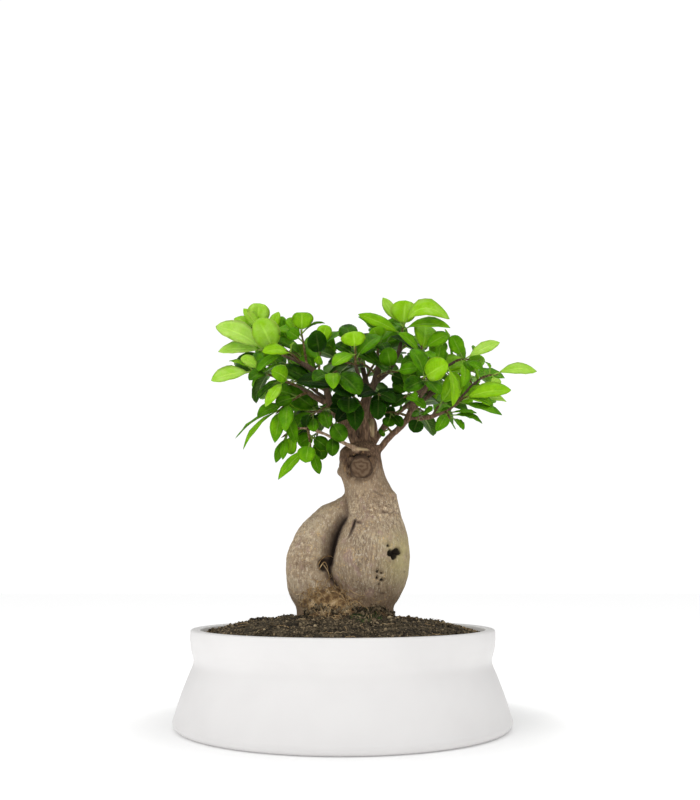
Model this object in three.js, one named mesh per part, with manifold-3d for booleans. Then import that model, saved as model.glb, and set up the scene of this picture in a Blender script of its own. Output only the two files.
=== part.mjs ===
// Ficus ginseng bonsai growing in a low white ceramic bowl.
// Millimetres, +Z up, the origin in the middle of the bowl's flat foot, the front toward -Y.

import * as THREE from 'three';
import { mergeVertices } from 'three/addons/utils/BufferGeometryUtils.js';
import Module from 'manifold-3d';

const wasm = await Module();
wasm.setup();

// Driving dimensions of the bowl
const POT_HEIGHT = 84.5;
const FLARE_RADIUS = 153.5;
const FOOT_ROUNDING = 6;
const SHOULDER = [147.4, 27];
const LOWER_WAIST = [141.6, 43];
const WAIST = [137, 56];
const UPPER_WAIST = [139.5, 67];
const RIM_RADIUS = 140.7;
const RIM_BAND_BOTTOM = 76;
const RIM_ROUNDING = 1.8;
const WALL_THICKNESS = 9;
const FLOOR_THICKNESS = 9;
const FOOT_STEPS = 2;
const FLANK_STEPS = 6;
const ROUND_SEGMENTS = 40;

// Driving dimensions of the soil
const FIT_GAP = 0.3;
const SOIL_EDGE_HEIGHT = 76;
const SOIL_RISE = 20;
const SOIL_LUMP = 1.2;
const SOIL_RINGS = 5;

// Plain plug at the trunk's base, which stands in a plain hole in the soil
const PLUG_X = 3;
const PLUG_Y = -1;
const PLUG_RADIUS_X = 47;
const PLUG_RADIUS_Y = 28;
const PLUG_BOTTOM = 62;
const PLUG_SIDES = 24;
const BRANCH_SIDES = 6;

// Driving dimensions of the foliage
const BLADE_THICKNESS = 0.7;
const PETIOLE_LENGTH = 6;
const PETIOLE_WIDTH = 1.2;
const TWIG_RADIUS = 1.4;
const TWIG_TIP_RADIUS = 0.9;
const TWIG_SIDES = 3;
const TWIG_BOW = 0.06;
const CLEARANCE = 0.5;
const BRANCH_GAP = 0.55;
const WELDS = [0.25, 0.2, 0.15, 0.11, 0.08, 0.05, 0.03, 0.01];
const TWIN_DISTANCE = 0.002;
const BLADE_STATIONS = [0.3, 0.68, 1];
const BLADE_SWELL = 1.1;
const GOLDEN_ANGLE = 2.399963;
// The growth rule's ranges are each a least value and how much may be added to it
const RULED = {
  lowest: 0.3,
  wander: 0.8,
  splay: [44, 26],
  lift: 0.2,
  length: [31, 13],
  widthToLength: [0.5, 0.14],
  arch: [0.05, 0.08],
  turnedBack: 0.7,
  faceOut: 0.8,
  faceUp: 0.45,
  faceFront: 0.6,
};
const CROWN_CENTRE = new THREE.Vector3(25, 15, 290);
const MIDDLE_DEPTH = 40;

// Branches and leafy stems are placed as seen from a point in front of the plant: x and z are measured
// in the trunk's plane, and y then moves the place along that line of sight.
const EYE = new THREE.Vector3(6.6, -823, 132);

function seen(place) {
  const inPlane = new THREE.Vector3(place[0], 0, place[2]);
  return inPlane.sub(EYE).multiplyScalar(1 - place[1] / EYE.y).add(EYE);
}

// Seeded random numbers from 0 to 1, the same sequence each time
function randomSource(seed) {
  let state = seed;
  return () => {
    state = (state * 16807) % 2147483647;
    return state / 2147483647;
  };
}

// Solids

function toSolid(geometry) {
  const bare = geometry.clone();
  bare.deleteAttribute('normal');
  bare.deleteAttribute('uv');
  const merged = mergeVertices(bare, 1e-4);
  const index = merged.index.array;
  const kept = [];
  for (let i = 0; i < index.length; i += 3) {
    const [a, b, c] = [index[i], index[i + 1], index[i + 2]];
    if (a !== b && b !== c && c !== a) kept.push(a, b, c);
  }
  return new wasm.Manifold(new wasm.Mesh({
    numProp: 3,
    vertProperties: merged.attributes.position.array,
    triVerts: new Uint32Array(kept),
  }));
}

function toGeometry(solid) {
  const mesh = solid.getMesh();
  const geometry = new THREE.BufferGeometry();
  geometry.setAttribute('position', new THREE.BufferAttribute(mesh.vertProperties, 3));
  geometry.setIndex(new THREE.BufferAttribute(mesh.triVerts, 1));
  const flat = geometry.toNonIndexed();
  flat.computeVertexNormals();
  return flat;
}

function largestBody(solid) {
  const bodies = solid.decompose();
  bodies.sort((a, b) => b.volume() - a.volume());
  return bodies[0];
}

// A solid's corners, with those closer together than a distance made one, and each vertex's corner
function gathered(mesh, distance) {
  const corners = [];
  const corner = [];
  for (let i = 0; i < mesh.vertProperties.length; i += 3) {
    const place = new THREE.Vector3().fromArray(mesh.vertProperties, i);
    let near = corners.findIndex((other) => other.distanceTo(place) < distance);
    if (near < 0) near = corners.push(place) - 1;
    corner.push(near);
  }
  return { corners, corner };
}

function weldedAt(solid, distance) {
  const mesh = solid.getMesh();
  const { corners, corner } = gathered(mesh, distance);
  const kept = [];
  for (let i = 0; i < mesh.triVerts.length; i += 3) {
    const [a, b, c] = [0, 1, 2].map((k) => corner[mesh.triVerts[i + k]]);
    if (a !== b && b !== c && c !== a) kept.push(a, b, c);
  }
  return new wasm.Manifold(new wasm.Mesh({
    numProp: 3,
    vertProperties: new Float32Array(corners.flatMap((place) => place.toArray())),
    triVerts: new Uint32Array(kept),
  }));
}

// A weld may neither change the volume by a hundredth nor leave two corners in one place
function isSound(clean, solid) {
  if (Math.abs(1 - clean.volume() / solid.volume()) > 0.01 || clean.genus() > solid.genus()) return false;
  return gathered(clean.getMesh(), TWIN_DISTANCE).corners.length === clean.numVert();
}

// The coarsest weld that keeps the solid whole
function welded(solid) {
  for (const distance of WELDS) {
    try {
      const clean = weldedAt(solid, distance);
      if (isSound(clean, solid)) return clean;
    } catch {
      continue;
    }
  }
  return solid;
}

function union(solids) {
  return solids.reduce((joined, solid) => joined.add(solid));
}

// Moves every vertex of a three.js geometry to where place(vertex) puts it
function reshape(geometry, place) {
  const position = geometry.attributes.position;
  const vertex = new THREE.Vector3();
  for (let i = 0; i < position.count; i += 1) {
    vertex.fromBufferAttribute(position, i);
    const moved = place(vertex);
    position.setXYZ(i, moved.x, moved.y, moved.z);
  }
  return geometry;
}

// A closed cylinder laid over elliptical level rings [x, y, z, radiusX, radiusY], from the top down
function ringed(rings, sides, grow = 0) {
  const last = rings.length - 1;
  const cylinder = new THREE.CylinderGeometry(1, 1, 1, sides, last);
  return toSolid(reshape(cylinder, (v) => {
    const [x, y, z, radiusX, radiusY] = rings[Math.round((0.5 - v.y) * last)];
    return new THREE.Vector3(x + v.x * (radiusX + grow), y - v.z * (radiusY + grow), z);
  }));
}

// A closed cylinder laid along a path, its radius changing evenly from one end to the other
function tube(path, startRadius, endRadius, sides) {
  const last = path.length - 1;
  const chord = path[last].clone().sub(path[0]);
  const reference = leastAxis(chord);
  const cylinder = new THREE.CylinderGeometry(1, 1, 1, sides, last);
  return reshape(cylinder, (v) => {
    const step = Math.round((v.y + 0.5) * last);
    const before = path[Math.max(step - 1, 0)];
    const after = path[Math.min(step + 1, last)];
    const along = after.clone().sub(before).normalize();
    const side = along.clone().cross(reference).normalize();
    const other = side.clone().cross(along);
    const radius = startRadius + (endRadius - startRadius) * step / last;
    return path[step].clone().addScaledVector(side, v.x * radius).addScaledVector(other, v.z * radius);
  });
}

function leastAxis(direction) {
  const x = Math.abs(direction.x);
  const y = Math.abs(direction.y);
  const z = Math.abs(direction.z);
  if (y <= x && y <= z) return new THREE.Vector3(0, 1, 0);
  if (x <= z) return new THREE.Vector3(1, 0, 0);
  return new THREE.Vector3(0, 0, 1);
}

// Bowl

function bowlSide() {
  const foot = [];
  for (let i = 0; i <= FOOT_STEPS; i += 1) {
    const angle = (i / FOOT_STEPS) * Math.PI / 2;
    foot.push(new THREE.Vector2(
      FLARE_RADIUS - FOOT_ROUNDING + FOOT_ROUNDING * Math.sin(angle),
      FOOT_ROUNDING - FOOT_ROUNDING * Math.cos(angle),
    ));
  }
  const flank = new THREE.SplineCurve([
    foot[FOOT_STEPS],
    new THREE.Vector2(...SHOULDER),
    new THREE.Vector2(...LOWER_WAIST),
    new THREE.Vector2(...WAIST),
    new THREE.Vector2(...UPPER_WAIST),
    new THREE.Vector2(RIM_RADIUS, RIM_BAND_BOTTOM),
  ]);
  return { foot, flank: flank.getSpacedPoints(FLANK_STEPS) };
}

function innerWall(flank, gap) {
  const inset = WALL_THICKNESS + gap;
  return flank.filter((p) => p.y > FLOOR_THICKNESS + 6).map((p) => new THREE.Vector2(p.x - inset, p.y));
}

function buildBowl() {
  const { foot, flank } = bowlSide();
  const inner = innerWall(flank, 0);
  const innerFoot = inner[0].x;
  const rimInner = RIM_RADIUS - WALL_THICKNESS;
  const profile = [
    new THREE.Vector2(0, 0),
    ...foot,
    ...flank.slice(1),
    new THREE.Vector2(RIM_RADIUS, POT_HEIGHT - RIM_ROUNDING),
    new THREE.Vector2(RIM_RADIUS - RIM_ROUNDING, POT_HEIGHT),
    new THREE.Vector2(rimInner + RIM_ROUNDING, POT_HEIGHT),
    new THREE.Vector2(rimInner, POT_HEIGHT - RIM_ROUNDING),
    ...inner.reverse(),
    new THREE.Vector2(innerFoot - 5, FLOOR_THICKNESS),
    new THREE.Vector2(0, FLOOR_THICKNESS),
  ];
  const bowl = new THREE.LatheGeometry(profile, ROUND_SEGMENTS).rotateX(Math.PI / 2);
  return toSolid(bowl);
}

// Soil

function soilHeight(x, y) {
  const reach = Math.min(Math.hypot(x, y) / (RIM_RADIUS - WALL_THICKNESS), 1);
  const mound = SOIL_EDGE_HEIGHT + SOIL_RISE * (1 - reach ** 3);
  const lumps = Math.sin(x * 0.13 + 1.3 * Math.sin(y * 0.07)) * Math.cos(y * 0.11 + 0.6 * Math.sin(x * 0.09));
  return mound + SOIL_LUMP * lumps;
}

function buildSoil() {
  const wall = innerWall(bowlSide().flank, FIT_GAP);
  const edgeRadius = RIM_RADIUS - WALL_THICKNESS - FIT_GAP;
  const below = wall.filter((p) => p.y < SOIL_EDGE_HEIGHT - 4);
  const bottom = FLOOR_THICKNESS + FIT_GAP;
  const profile = [
    new THREE.Vector2(0, bottom),
    new THREE.Vector2(below[0].x - 5, bottom),
    ...below,
  ];
  const topStart = profile.length;
  for (let ring = SOIL_RINGS; ring >= 0; ring -= 1) {
    profile.push(new THREE.Vector2(edgeRadius * ring / SOIL_RINGS, POT_HEIGHT));
  }
  const lathe = new THREE.LatheGeometry(profile, ROUND_SEGMENTS).rotateX(Math.PI / 2);
  const top = profile[topStart].y;
  const ground = reshape(lathe, (v) => {
    const onTop = Math.abs(v.z - top) < 1e-3;
    return new THREE.Vector3(v.x, v.y, onTop ? soilHeight(v.x, v.y) : v.z);
  });
  const hole = ringed([
    [PLUG_X, PLUG_Y, SOIL_EDGE_HEIGHT + SOIL_RISE * 2, PLUG_RADIUS_X, PLUG_RADIUS_Y],
    [PLUG_X, PLUG_Y, PLUG_BOTTOM - FIT_GAP, PLUG_RADIUS_X, PLUG_RADIUS_Y],
  ], PLUG_SIDES, FIT_GAP);
  return toSolid(ground).subtract(hole);
}

// Trunk: level rings [x, y, z, radiusX, radiusY] from the top down

const BULB_RINGS = [
  [20, 0, 259, 11, 11],
  [19, 0, 254, 16.5, 15.5],
  [16.6, 0, 245, 20.2, 19],
  [16.8, 0, 232, 22.4, 20.5],
  [22, 0, 221, 21.2, 20.5],
  [28.2, 0, 207, 24, 23],
  [28.2, 0, 190, 27.4, 27.6],
  [28.4, -1, 168, 34, 33.6],
  [25.8, -1, 148, 38.4, 37],
  [26, -1, 130, 34.8, 34.5],
  [27, -1, 117, 29, 30],
  [26, -1, 105, 22, 24],
  [24, -1, 90, 16, 17],
];

const ROOT_CROWN_RINGS = [
  [-4, -6, 118, 6, 6],
  [-3, -5, 112, 20, 16],
  [1, -2, 105, 36, 24],
  [PLUG_X, PLUG_Y, 99, PLUG_RADIUS_X, PLUG_RADIUS_Y],
  [PLUG_X, PLUG_Y, PLUG_BOTTOM, PLUG_RADIUS_X, PLUG_RADIUS_Y],
];

const LOBE_RINGS = [
  [10, 4, 208, 9, 9],
  [-5.5, 4, 196, 18.4, 17],
  [-15, 3, 185.5, 20.4, 20],
  [-23.5, 2, 173, 21.8, 22.5],
  [-30.5, 0, 154, 23.4, 25],
  [-31.4, 0, 136, 23, 25],
  [-29.8, -1, 120, 22.5, 24],
  [-26, -1, 107, 20.4, 21],
  [-19, -1, 92, 15, 16],
];

// Round pruning scar on the front of the neck: [x, y, z, radiusX, radiusZ] from the back to the front
const SCAR_RINGS = [
  [20, -12, 237, 12, 9],
  [19.5, -21, 236.5, 13, 10.5],
  [19.5, -24, 236, 9.5, 7.5],
];

function buildScar() {
  const last = SCAR_RINGS.length - 1;
  const cylinder = new THREE.CylinderGeometry(1, 1, 1, 14, last);
  return toSolid(reshape(cylinder, (v) => {
    const [x, y, z, radiusX, radiusZ] = SCAR_RINGS[Math.round((v.y + 0.5) * last)];
    return new THREE.Vector3(x + v.x * radiusX, y, z - v.z * radiusZ);
  }));
}

// Branches: the places on each centre line, as seen, with the radius at its two ends
const BRANCHES = {
  centre: { radii: [7, 2.2], path: [[21, 0, 243], [20, 0, 273], [20, -2, 292], [24, -3, 307],
    [31, -2, 320], [35, 2, 336], [34, 4, 350]] },
  left: { radii: [4.6, 1.8], path: [[16, -3, 245], [6, -6, 273], [-5, -8, 285], [-12, -8, 298],
    [-19, -6, 318], [-28, -4, 331], [-42, -2, 340], [-58, -2, 347]] },
  leftLow: { radii: [2.8, 1.7], path: [[-11, -8, 295], [-30, -10, 307], [-45, -12, 316], [-60, -14, 322]] },
  leftBack: { radii: [2.6, 1.7], path: [[-19, -6, 318], [-34, 16, 334], [-50, 30, 346]] },
  right: { radii: [3.7, 1.6], path: [[30, -2, 246], [45, -4, 265], [54, -6, 273], [61, -7, 281],
    [66, -8, 291], [71, -8, 307], [75, -6, 323], [76, -2, 338]] },
  rightLow: { radii: [2.4, 1.4], path: [[62, -7, 282], [76, -9, 284], [88, -10, 286], [101, -10, 291],
    [112, -8, 298]] },
  rightFar: { radii: [1.6, 1.3], path: [[110, -8, 297], [122, -4, 311], [136, 0, 324]] },
  rightTop: { radii: [2.1, 1.5], path: [[71, -8, 307], [86, -4, 320], [100, 0, 334], [112, 2, 342]] },
  rightBack: { radii: [2.3, 1.5], path: [[66, -8, 291], [84, 10, 306], [104, 22, 318], [122, 28, 328]] },
  topRight: { radii: [2.6, 1.7], path: [[31, -2, 320], [44, 2, 330], [54, 4, 348], [58, 4, 362]] },
  frontTop: { radii: [2.4, 1.7], path: [[24, -3, 307], [17, -20, 322], [12, -34, 338]] },
  frontRight: { radii: [2.1, 1.6], path: [[68, -8, 297], [78, -26, 308], [86, -38, 320]] },
  back: { radii: [4.3, 2], path: [[27, 8, 246], [27, 12, 277], [26, 15, 297], [24, 24, 315], [20, 34, 332],
    [16, 42, 346]] },
  backLeft: { radii: [3.6, 1.8], path: [[23, 6, 258], [8, 22, 280], [-8, 38, 296], [-26, 50, 310],
    [-44, 58, 324]] },
  backRight: { radii: [3.6, 1.8], path: [[28, 9, 258], [44, 24, 280], [62, 38, 296], [82, 48, 308],
    [100, 54, 320]] },
  lowTwig: { radii: [2.3, 1.2], path: [[22, -12, 249], [8, -22, 256], [-7, -26, 263], [-22, -28, 270],
    [-34, -30, 274], [-43, -30, 274]] },
};

function branchTube(branch, grow) {
  const path = branch.path.map(seen);
  const [before, end] = path.slice(-2);
  end.addScaledVector(end.clone().sub(before).normalize(), grow);
  return tube(path, branch.radii[0] + grow, branch.radii[1] + grow, BRANCH_SIDES);
}

function branchPoint(name, at) {
  const path = BRANCHES[name].path.map(seen);
  const step = Math.min(Math.floor(at * (path.length - 1)), path.length - 2);
  const rest = at * (path.length - 1) - step;
  return path[step].clone().lerp(path[step + 1], rest);
}

function buildTrunk() {
  const branches = Object.values(BRANCHES).map((branch) => toSolid(branchTube(branch, 0)));
  return welded(union([
    ringed(BULB_RINGS, 18),
    ringed(LOBE_RINGS, 16),
    ringed(ROOT_CROWN_RINGS, PLUG_SIDES),
    buildScar(),
    ...branches,
  ]));
}

// Leafy stems: each grows on a branch and ends at a place as seen. Its chosen leaves are
// [how far along the stem, tip as seen, width, facing, arch], and "more" leaves follow the growth rule.
const FACING = {
  front: [0, -1, 0.1],
  tilt: [0, -1, 0.55],
  up: [0, -0.8, 1],
  left: [-0.7, -0.8, 0.4],
  right: [0.7, -0.8, 0.4],
  edgeLeft: [-0.9, 0, 0.7],
};

const STEMS = [
  { on: 'left', at: 1, to: [-80, -6, 353], more: 1, leaves: [
    [1, [-129, -14, 380], 27, 'tilt', 0.1], [0.5, [-86, -28, 386], 28, 'front', 0.06],
    [0.95, [-126, -12, 353], 17, 'tilt', 0.06]] },
  { on: 'left', at: 0.86, to: [-54, -16, 351], more: 1, leaves: [
    [0.7, [-81, -34, 353], 17, 'tilt', 0.1], [0.9, [-50, -20, 362], 8, 'edgeLeft', 0.08]] },
  { on: 'leftBack', at: 1, to: [-88, 26, 374], more: 2, leaves: [
    [1, [-85, 20, 403], 24, 'front', 0.05], [0.95, [-111, 24, 388], 12, 'tilt', 0.1],
    [0.8, [-103, 20, 396], 12, 'front', 0.06], [0.6, [-66, 14, 394], 13, 'tilt', 0.08]] },
  { on: 'left', at: 0.8, to: [-42, 0, 370], more: 1, leaves: [
    [0.95, [-42, 2, 394], 22, 'front', 0.04], [1, [-21, 2, 387], 8, 'edgeLeft', 0.12],
    [0.7, [-56, -2, 374], 15, 'front', 0.08], [0.85, [-57, 4, 388], 12, 'front', 0.05]] },
  { on: 'left', at: 0.66, to: [-23, -4, 358], more: 2, leaves: [
    [0.9, [-17, -4, 380], 16, 'front', 0.03], [0.6, [-28, -30, 374], 20, 'front', 0.06],
    [0.3, [-24, -24, 347], 9, 'front', 0.12], [0.1, [-12, -18, 336], 14, 'tilt', 0.1]] },
  { on: 'leftLow', at: 1, to: [-90, -18, 331], more: 2, leaves: [
    [1, [-132, -22, 323], 20, 'tilt', 0.06], [0.5, [-94, -36, 324], 14, 'tilt', 0.12],
    [0.95, [-115, -10, 343], 8, 'up', 0.12], [0.75, [-102, -20, 348], 13, 'tilt', 0.08]] },
  { on: 'leftLow', at: 0.7, to: [-62, -32, 322], more: 1, leaves: [
    [0.6, [-71, -46, 333], 17, 'front', 0.16], [1, [-87, -32, 300], 10, 'left', 0.12],
    [0.9, [-75, -36, 302], 12, 'left', 0.1], [0.8, [-77, -52, 296], 12, 'tilt', 0.06]] },
  { on: 'leftLow', at: 0.45, to: [-63, -26, 292], more: 1, leaves: [
    [1, [-108, -30, 265], 8, 'edgeLeft', 0.08], [0.95, [-99, -38, 253], 9, 'left', 0.1],
    [0.8, [-85, -42, 287], 14, 'tilt', 0.08], [0.9, [-67, -46, 260], 14, 'front', 0.08],
    [0.7, [-57, -52, 271], 15, 'front', 0.06], [0.4, [-67, -30, 299], 13, 'front', 0.06],
    [0.85, [-46, -38, 258], 12, 'front', 0.05]] },
  { on: 'lowTwig', at: 1, to: [-56, -33, 268], more: 0, leaves: [
    [0.95, [-66, -36, 240], 9, 'front', 0.05], [0.9, [-59, -42, 243], 8, 'front', 0.06],
    [0.6, [-57, -46, 256], 12, 'tilt', 0.14]] },
  { on: 'lowTwig', at: 0.82, to: [-32, -34, 256], more: 0, leaves: [
    [0.95, [-64, -40, 224], 11, 'tilt', 0.06], [0.8, [-37, -46, 240], 17, 'front', 0.05],
    [1, [-23, -38, 229], 10, 'front', 0.04], [0.4, [-14, -26, 256], 14, 'front', 0.06],
    [0.6, [-29, -30, 264], 11, 'front', 0.06]] },
  { on: 'lowTwig', at: 0.42, to: [-13, -32, 282], more: 1, leaves: [
    [1, [1, -40, 262], 17, 'front', 0.06], [0.3, [-9, -34, 246], 13, 'front', 0.06]] },
  { on: 'lowTwig', at: 0.64, to: [-26, -8, 266], more: 0, leaves: [
    [0.9, [-20, -14, 243], 15, 'front', 0.06], [0.6, [-44, -18, 258], 15, 'front', 0.08]] },
  { on: 'left', at: 0.4, to: [-30, -28, 288], more: 2, leaves: [
    [0.9, [-37, -34, 276], 13, 'left', 0.2], [0.6, [-20, -36, 296], 11, 'tilt', 0.12],
    [1, [-32, -38, 272], 11, 'front', 0.1], [0.5, [-14, -38, 270], 14, 'front', 0.06]] },
  { on: 'left', at: 0.57, to: [-8, -36, 331], more: 1, leaves: [
    [1, [17, -52, 309], 22, 'tilt', 0.08], [0.8, [-10, -58, 315], 15, 'front', 0.12],
    [0.7, [-30, -46, 322], 15, 'tilt', 0.1]] },
  { on: 'centre', at: 0.36, to: [6, -26, 308], more: 0, leaves: [
    [1, [5, -40, 290], 21, 'front', 0.06], [0.7, [12, -40, 273], 17, 'front', 0.06],
    [0.4, [-12, -14, 304], 16, 'front', 0.06], [0.1, [36, -14, 272], 12, 'front', 0.05]] },
  { on: 'centre', at: 0.52, to: [35, -26, 308], more: 1, leaves: [
    [1, [34, -36, 283], 16, 'front', 0.05], [0.7, [52, -34, 300], 14, 'tilt', 0.1]] },
  { on: 'frontTop', at: 1, to: [12, -38, 351], more: 2, leaves: [
    [1, [10, -42, 373], 24, 'front', 0.03], [0.8, [-11, -62, 339], 15, 'tilt', 0.08],
    [0.6, [-8, -30, 360], 14, 'tilt', 0.08]] },
  { on: 'centre', at: 1, to: [36, -2, 362], more: 2, leaves: [
    [0.9, [30, -16, 376], 22, 'front', 0.06], [0.6, [20, -26, 350], 15, 'tilt', 0.1],
    [0.8, [44, -24, 352], 14, 'tilt', 0.1]] },
  { on: 'topRight', at: 1, to: [60, 2, 378], more: 1, leaves: [
    [1, [39, 8, 409], 12, 'left', 0.05], [0.8, [63, -6, 406], 27, 'front', 0.03],
    [0.4, [15, -14, 392], 15, 'left', 0.06], [0.9, [109, -10, 387], 25, 'tilt', 0.42],
    [0.7, [108, -18, 377], 15, 'tilt', 0.14]] },
  { on: 'right', at: 1, to: [78, -10, 354], more: 2, leaves: [
    [0.6, [56, -26, 372], 14, 'tilt', 0.08], [0.95, [106, -8, 371], 15, 'front', 0.1],
    [0.8, [92, -34, 343], 10, 'tilt', 0.08]] },
  { on: 'rightTop', at: 1, to: [121, 0, 344], more: 1, leaves: [
    [0.8, [109, -8, 369], 16, 'front', 0.06], [1, [157, -4, 363], 15, 'tilt', 0.04],
    [0.6, [119, -24, 316], 14, 'right', 0.1], [0.9, [128, -10, 331], 11, 'tilt', 0.12]] },
  { on: 'rightTop', at: 0.6, to: [103, -24, 338], more: 1, leaves: [
    [0.9, [108, -46, 296], 14, 'right', 0.1], [0.7, [84, -34, 344], 14, 'tilt', 0.1]] },
  { on: 'centre', at: 0.72, to: [51, -28, 331], more: 1, leaves: [
    [1, [76, -48, 336], 13, 'front', 0.06], [0.8, [44, -36, 356], 18, 'front', 0.06],
    [0.6, [40, -46, 333], 15, 'tilt', 0.08], [0.6, [60, -20, 322], 16, 'front', 0.05]] },
  { on: 'frontRight', at: 1, to: [78, -46, 324], more: 1, leaves: [
    [0.9, [104, -66, 340], 22, 'front', 0.08], [0.5, [60, -58, 312], 16, 'front', 0.12],
    [0.7, [96, -60, 308], 14, 'tilt', 0.1]] },
  { on: 'rightFar', at: 1, to: [149, 2, 328], more: 0, leaves: [
    [1, [194, 0, 333], 16, 'tilt', 0.13], [0.9, [153, -12, 315], 10, 'front', 0.06],
    [0.7, [141, 6, 342], 7, 'right', 0.2], [0.5, [124, -14, 337], 12, 'tilt', 0.1]] },
  { on: 'rightLow', at: 1, to: [119, -12, 304], more: 1, leaves: [
    [0.8, [167, -18, 314], 20, 'tilt', 0.07], [0.3, [160, -18, 289], 15, 'up', 0.02],
    [1, [141, -2, 318], 9, 'up', 0.08], [0.7, [163, 6, 302], 13, 'tilt', 0.1]] },
  { on: 'rightLow', at: 0.74, to: [104, -20, 286], more: 0, leaves: [
    [0.9, [138, -22, 280], 12, 'up', 0.1], [1, [119, -26, 273], 9, 'up', 0.1],
    [0.5, [132, -24, 290], 9, 'up', 0.05], [0.6, [92, -38, 272], 12, 'front', 0.08]] },
  { on: 'rightLow', at: 0.3, to: [75, -24, 286], more: 0, leaves: [
    [1, [69, -32, 270], 15, 'front', 0.06], [0.7, [88, -36, 292], 13, 'tilt', 0.08]] },
  { on: 'right', at: 0.72, to: [62, -24, 306], more: 2, leaves: [
    [0.9, [72, -40, 303], 12, 'front', 0.06], [0.6, [48, -30, 296], 13, 'tilt', 0.1],
    [0.8, [84, -30, 298], 10, 'tilt', 0.06], [0.4, [50, -20, 322], 17, 'front', 0.05]] },
  { on: 'right', at: 0.5, to: [46, -12, 290], more: 0, leaves: [
    [0.9, [43, -14, 276], 13, 'front', 0.06], [0.6, [58, -18, 294], 10, 'tilt', 0.08],
    [1, [58, -20, 276], 10, 'front', 0.06]] },
  { on: 'right', at: 0.2, to: [44, -10, 274], more: 0, leaves: [
    [0.8, [36, -12, 268], 9, 'front', 0.06], [1, [56, -14, 297], 11, 'tilt', 0.08]] },
  { on: 'left', at: 0.52, to: [-38, 14, 318], more: 5 },
  { on: 'left', at: 0.3, to: [-36, 14, 290], more: 5 },
  { on: 'right', at: 0.85, to: [96, 12, 328], more: 5 },
  { on: 'rightLow', at: 0.5, to: [98, 14, 300], more: 4 },
  { on: 'centre', at: 0.75, to: [14, 16, 342], more: 4 },
  { on: 'backLeft', at: 1, to: [-76, 66, 338], more: 5 },
  { on: 'backLeft', at: 0.9, to: [-52, 84, 320], more: 5 },
  { on: 'backLeft', at: 0.75, to: [-30, 62, 346], more: 5 },
  { on: 'backLeft', at: 0.5, to: [-24, 66, 290], more: 5 },
  { on: 'backRight', at: 1, to: [128, 62, 332], more: 5 },
  { on: 'backRight', at: 0.9, to: [100, 84, 310], more: 5 },
  { on: 'backRight', at: 0.75, to: [86, 56, 346], more: 5 },
  { on: 'backRight', at: 0.5, to: [80, 66, 290], more: 4 },
  { on: 'back', at: 1, to: [12, 54, 345], more: 5 },
  { on: 'back', at: 0.85, to: [-12, 66, 340], more: 5 },
  { on: 'back', at: 0.7, to: [42, 60, 352], more: 5 },
  { on: 'back', at: 0.55, to: [22, 76, 326], more: 5 },
  { on: 'leftBack', at: 0.6, to: [-70, 44, 336], more: 5 },
  { on: 'leftBack', at: 0.3, to: [-50, 36, 352], more: 4 },
  { on: 'rightBack', at: 1, to: [128, 34, 318], more: 4 },
  { on: 'rightBack', at: 0.7, to: [108, 40, 338], more: 4 },
  { on: 'topRight', at: 0.5, to: [66, 28, 362], more: 4 },
];

function stemPoint(stem, along) {
  const bow = TWIG_BOW * stem.start.distanceTo(stem.end) * 4 * along * (1 - along);
  return stem.start.clone().lerp(stem.end, along).add(new THREE.Vector3(0, 0, bow));
}

// A leaf's own directions: along it, square out of its face, and across it
function leafAxes(leaf) {
  const along = leaf.tip.clone().sub(leaf.base);
  const length = along.length();
  along.divideScalar(length);
  const face = leaf.facing.clone().addScaledVector(along, -leaf.facing.dot(along)).normalize();
  const across = along.clone().cross(face);
  return { along, face, across, length };
}

// Half the blade's width, from 0 at its foot to 1 at its tip: broad leaves are blunt, narrow ones pointed
function halfWidth(leaf, length, station) {
  const blade = length - PETIOLE_LENGTH;
  const fullness = Math.min(Math.max(1.05 - 0.7 * leaf.width / blade, 0.45), 0.95);
  const swell = Math.sin(Math.PI * station ** BLADE_SWELL) ** fullness;
  const stalk = PETIOLE_WIDTH / 2 * (1 - station);
  return Math.max(leaf.width / 2 * swell, stalk);
}

// Middle of the blade at each station: a shallow arch over the straight line from base to tip
function leafStations(leaf) {
  const axes = leafAxes(leaf);
  const petiole = PETIOLE_LENGTH / axes.length;
  const stops = [0, ...BLADE_STATIONS.map((station) => petiole + (1 - petiole) * station)];
  return stops.map((stop, i) => {
    const rise = leaf.arch * axes.length * 4 * stop * (1 - stop);
    const slope = leaf.arch * 4 * (1 - 2 * stop);
    const centre = leaf.base.clone().addScaledVector(axes.along, axes.length * stop);
    centre.addScaledVector(axes.face, rise);
    const normal = axes.face.clone().addScaledVector(axes.along, -slope).normalize();
    const half = i === 0 ? PETIOLE_WIDTH / 2 : halfWidth(leaf, axes.length, BLADE_STATIONS[i - 1]);
    return { centre, normal, across: axes.across, half: i === stops.length - 1 ? 0 : half };
  });
}

function leafGeometry(leaf) {
  const stations = leafStations(leaf);
  const last = stations.length - 1;
  const slab = new THREE.BoxGeometry(1, 1, 1, 1, last, 1);
  return reshape(slab, (v) => {
    const { centre, normal, across, half } = stations[Math.round((v.y + 0.5) * last)];
    const edge = centre.clone().addScaledVector(across, v.x * 2 * half);
    return edge.addScaledVector(normal, v.z * BLADE_THICKNESS);
  });
}

// Keeping leaves of different stems apart

// Corners, edges and triangles of a thin closed strip around the given stations
function stripShape(stations, grow) {
  const corners = [];
  stations.forEach(({ centre, normal, across, half }) => {
    const side = across.clone().multiplyScalar(half + grow);
    const lift = normal.clone().multiplyScalar(BLADE_THICKNESS / 2 + grow);
    corners.push(centre.clone().add(side).add(lift), centre.clone().sub(side).add(lift));
    corners.push(centre.clone().sub(side).sub(lift), centre.clone().add(side).sub(lift));
  });
  return shapeOf(corners, 4);
}

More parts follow.
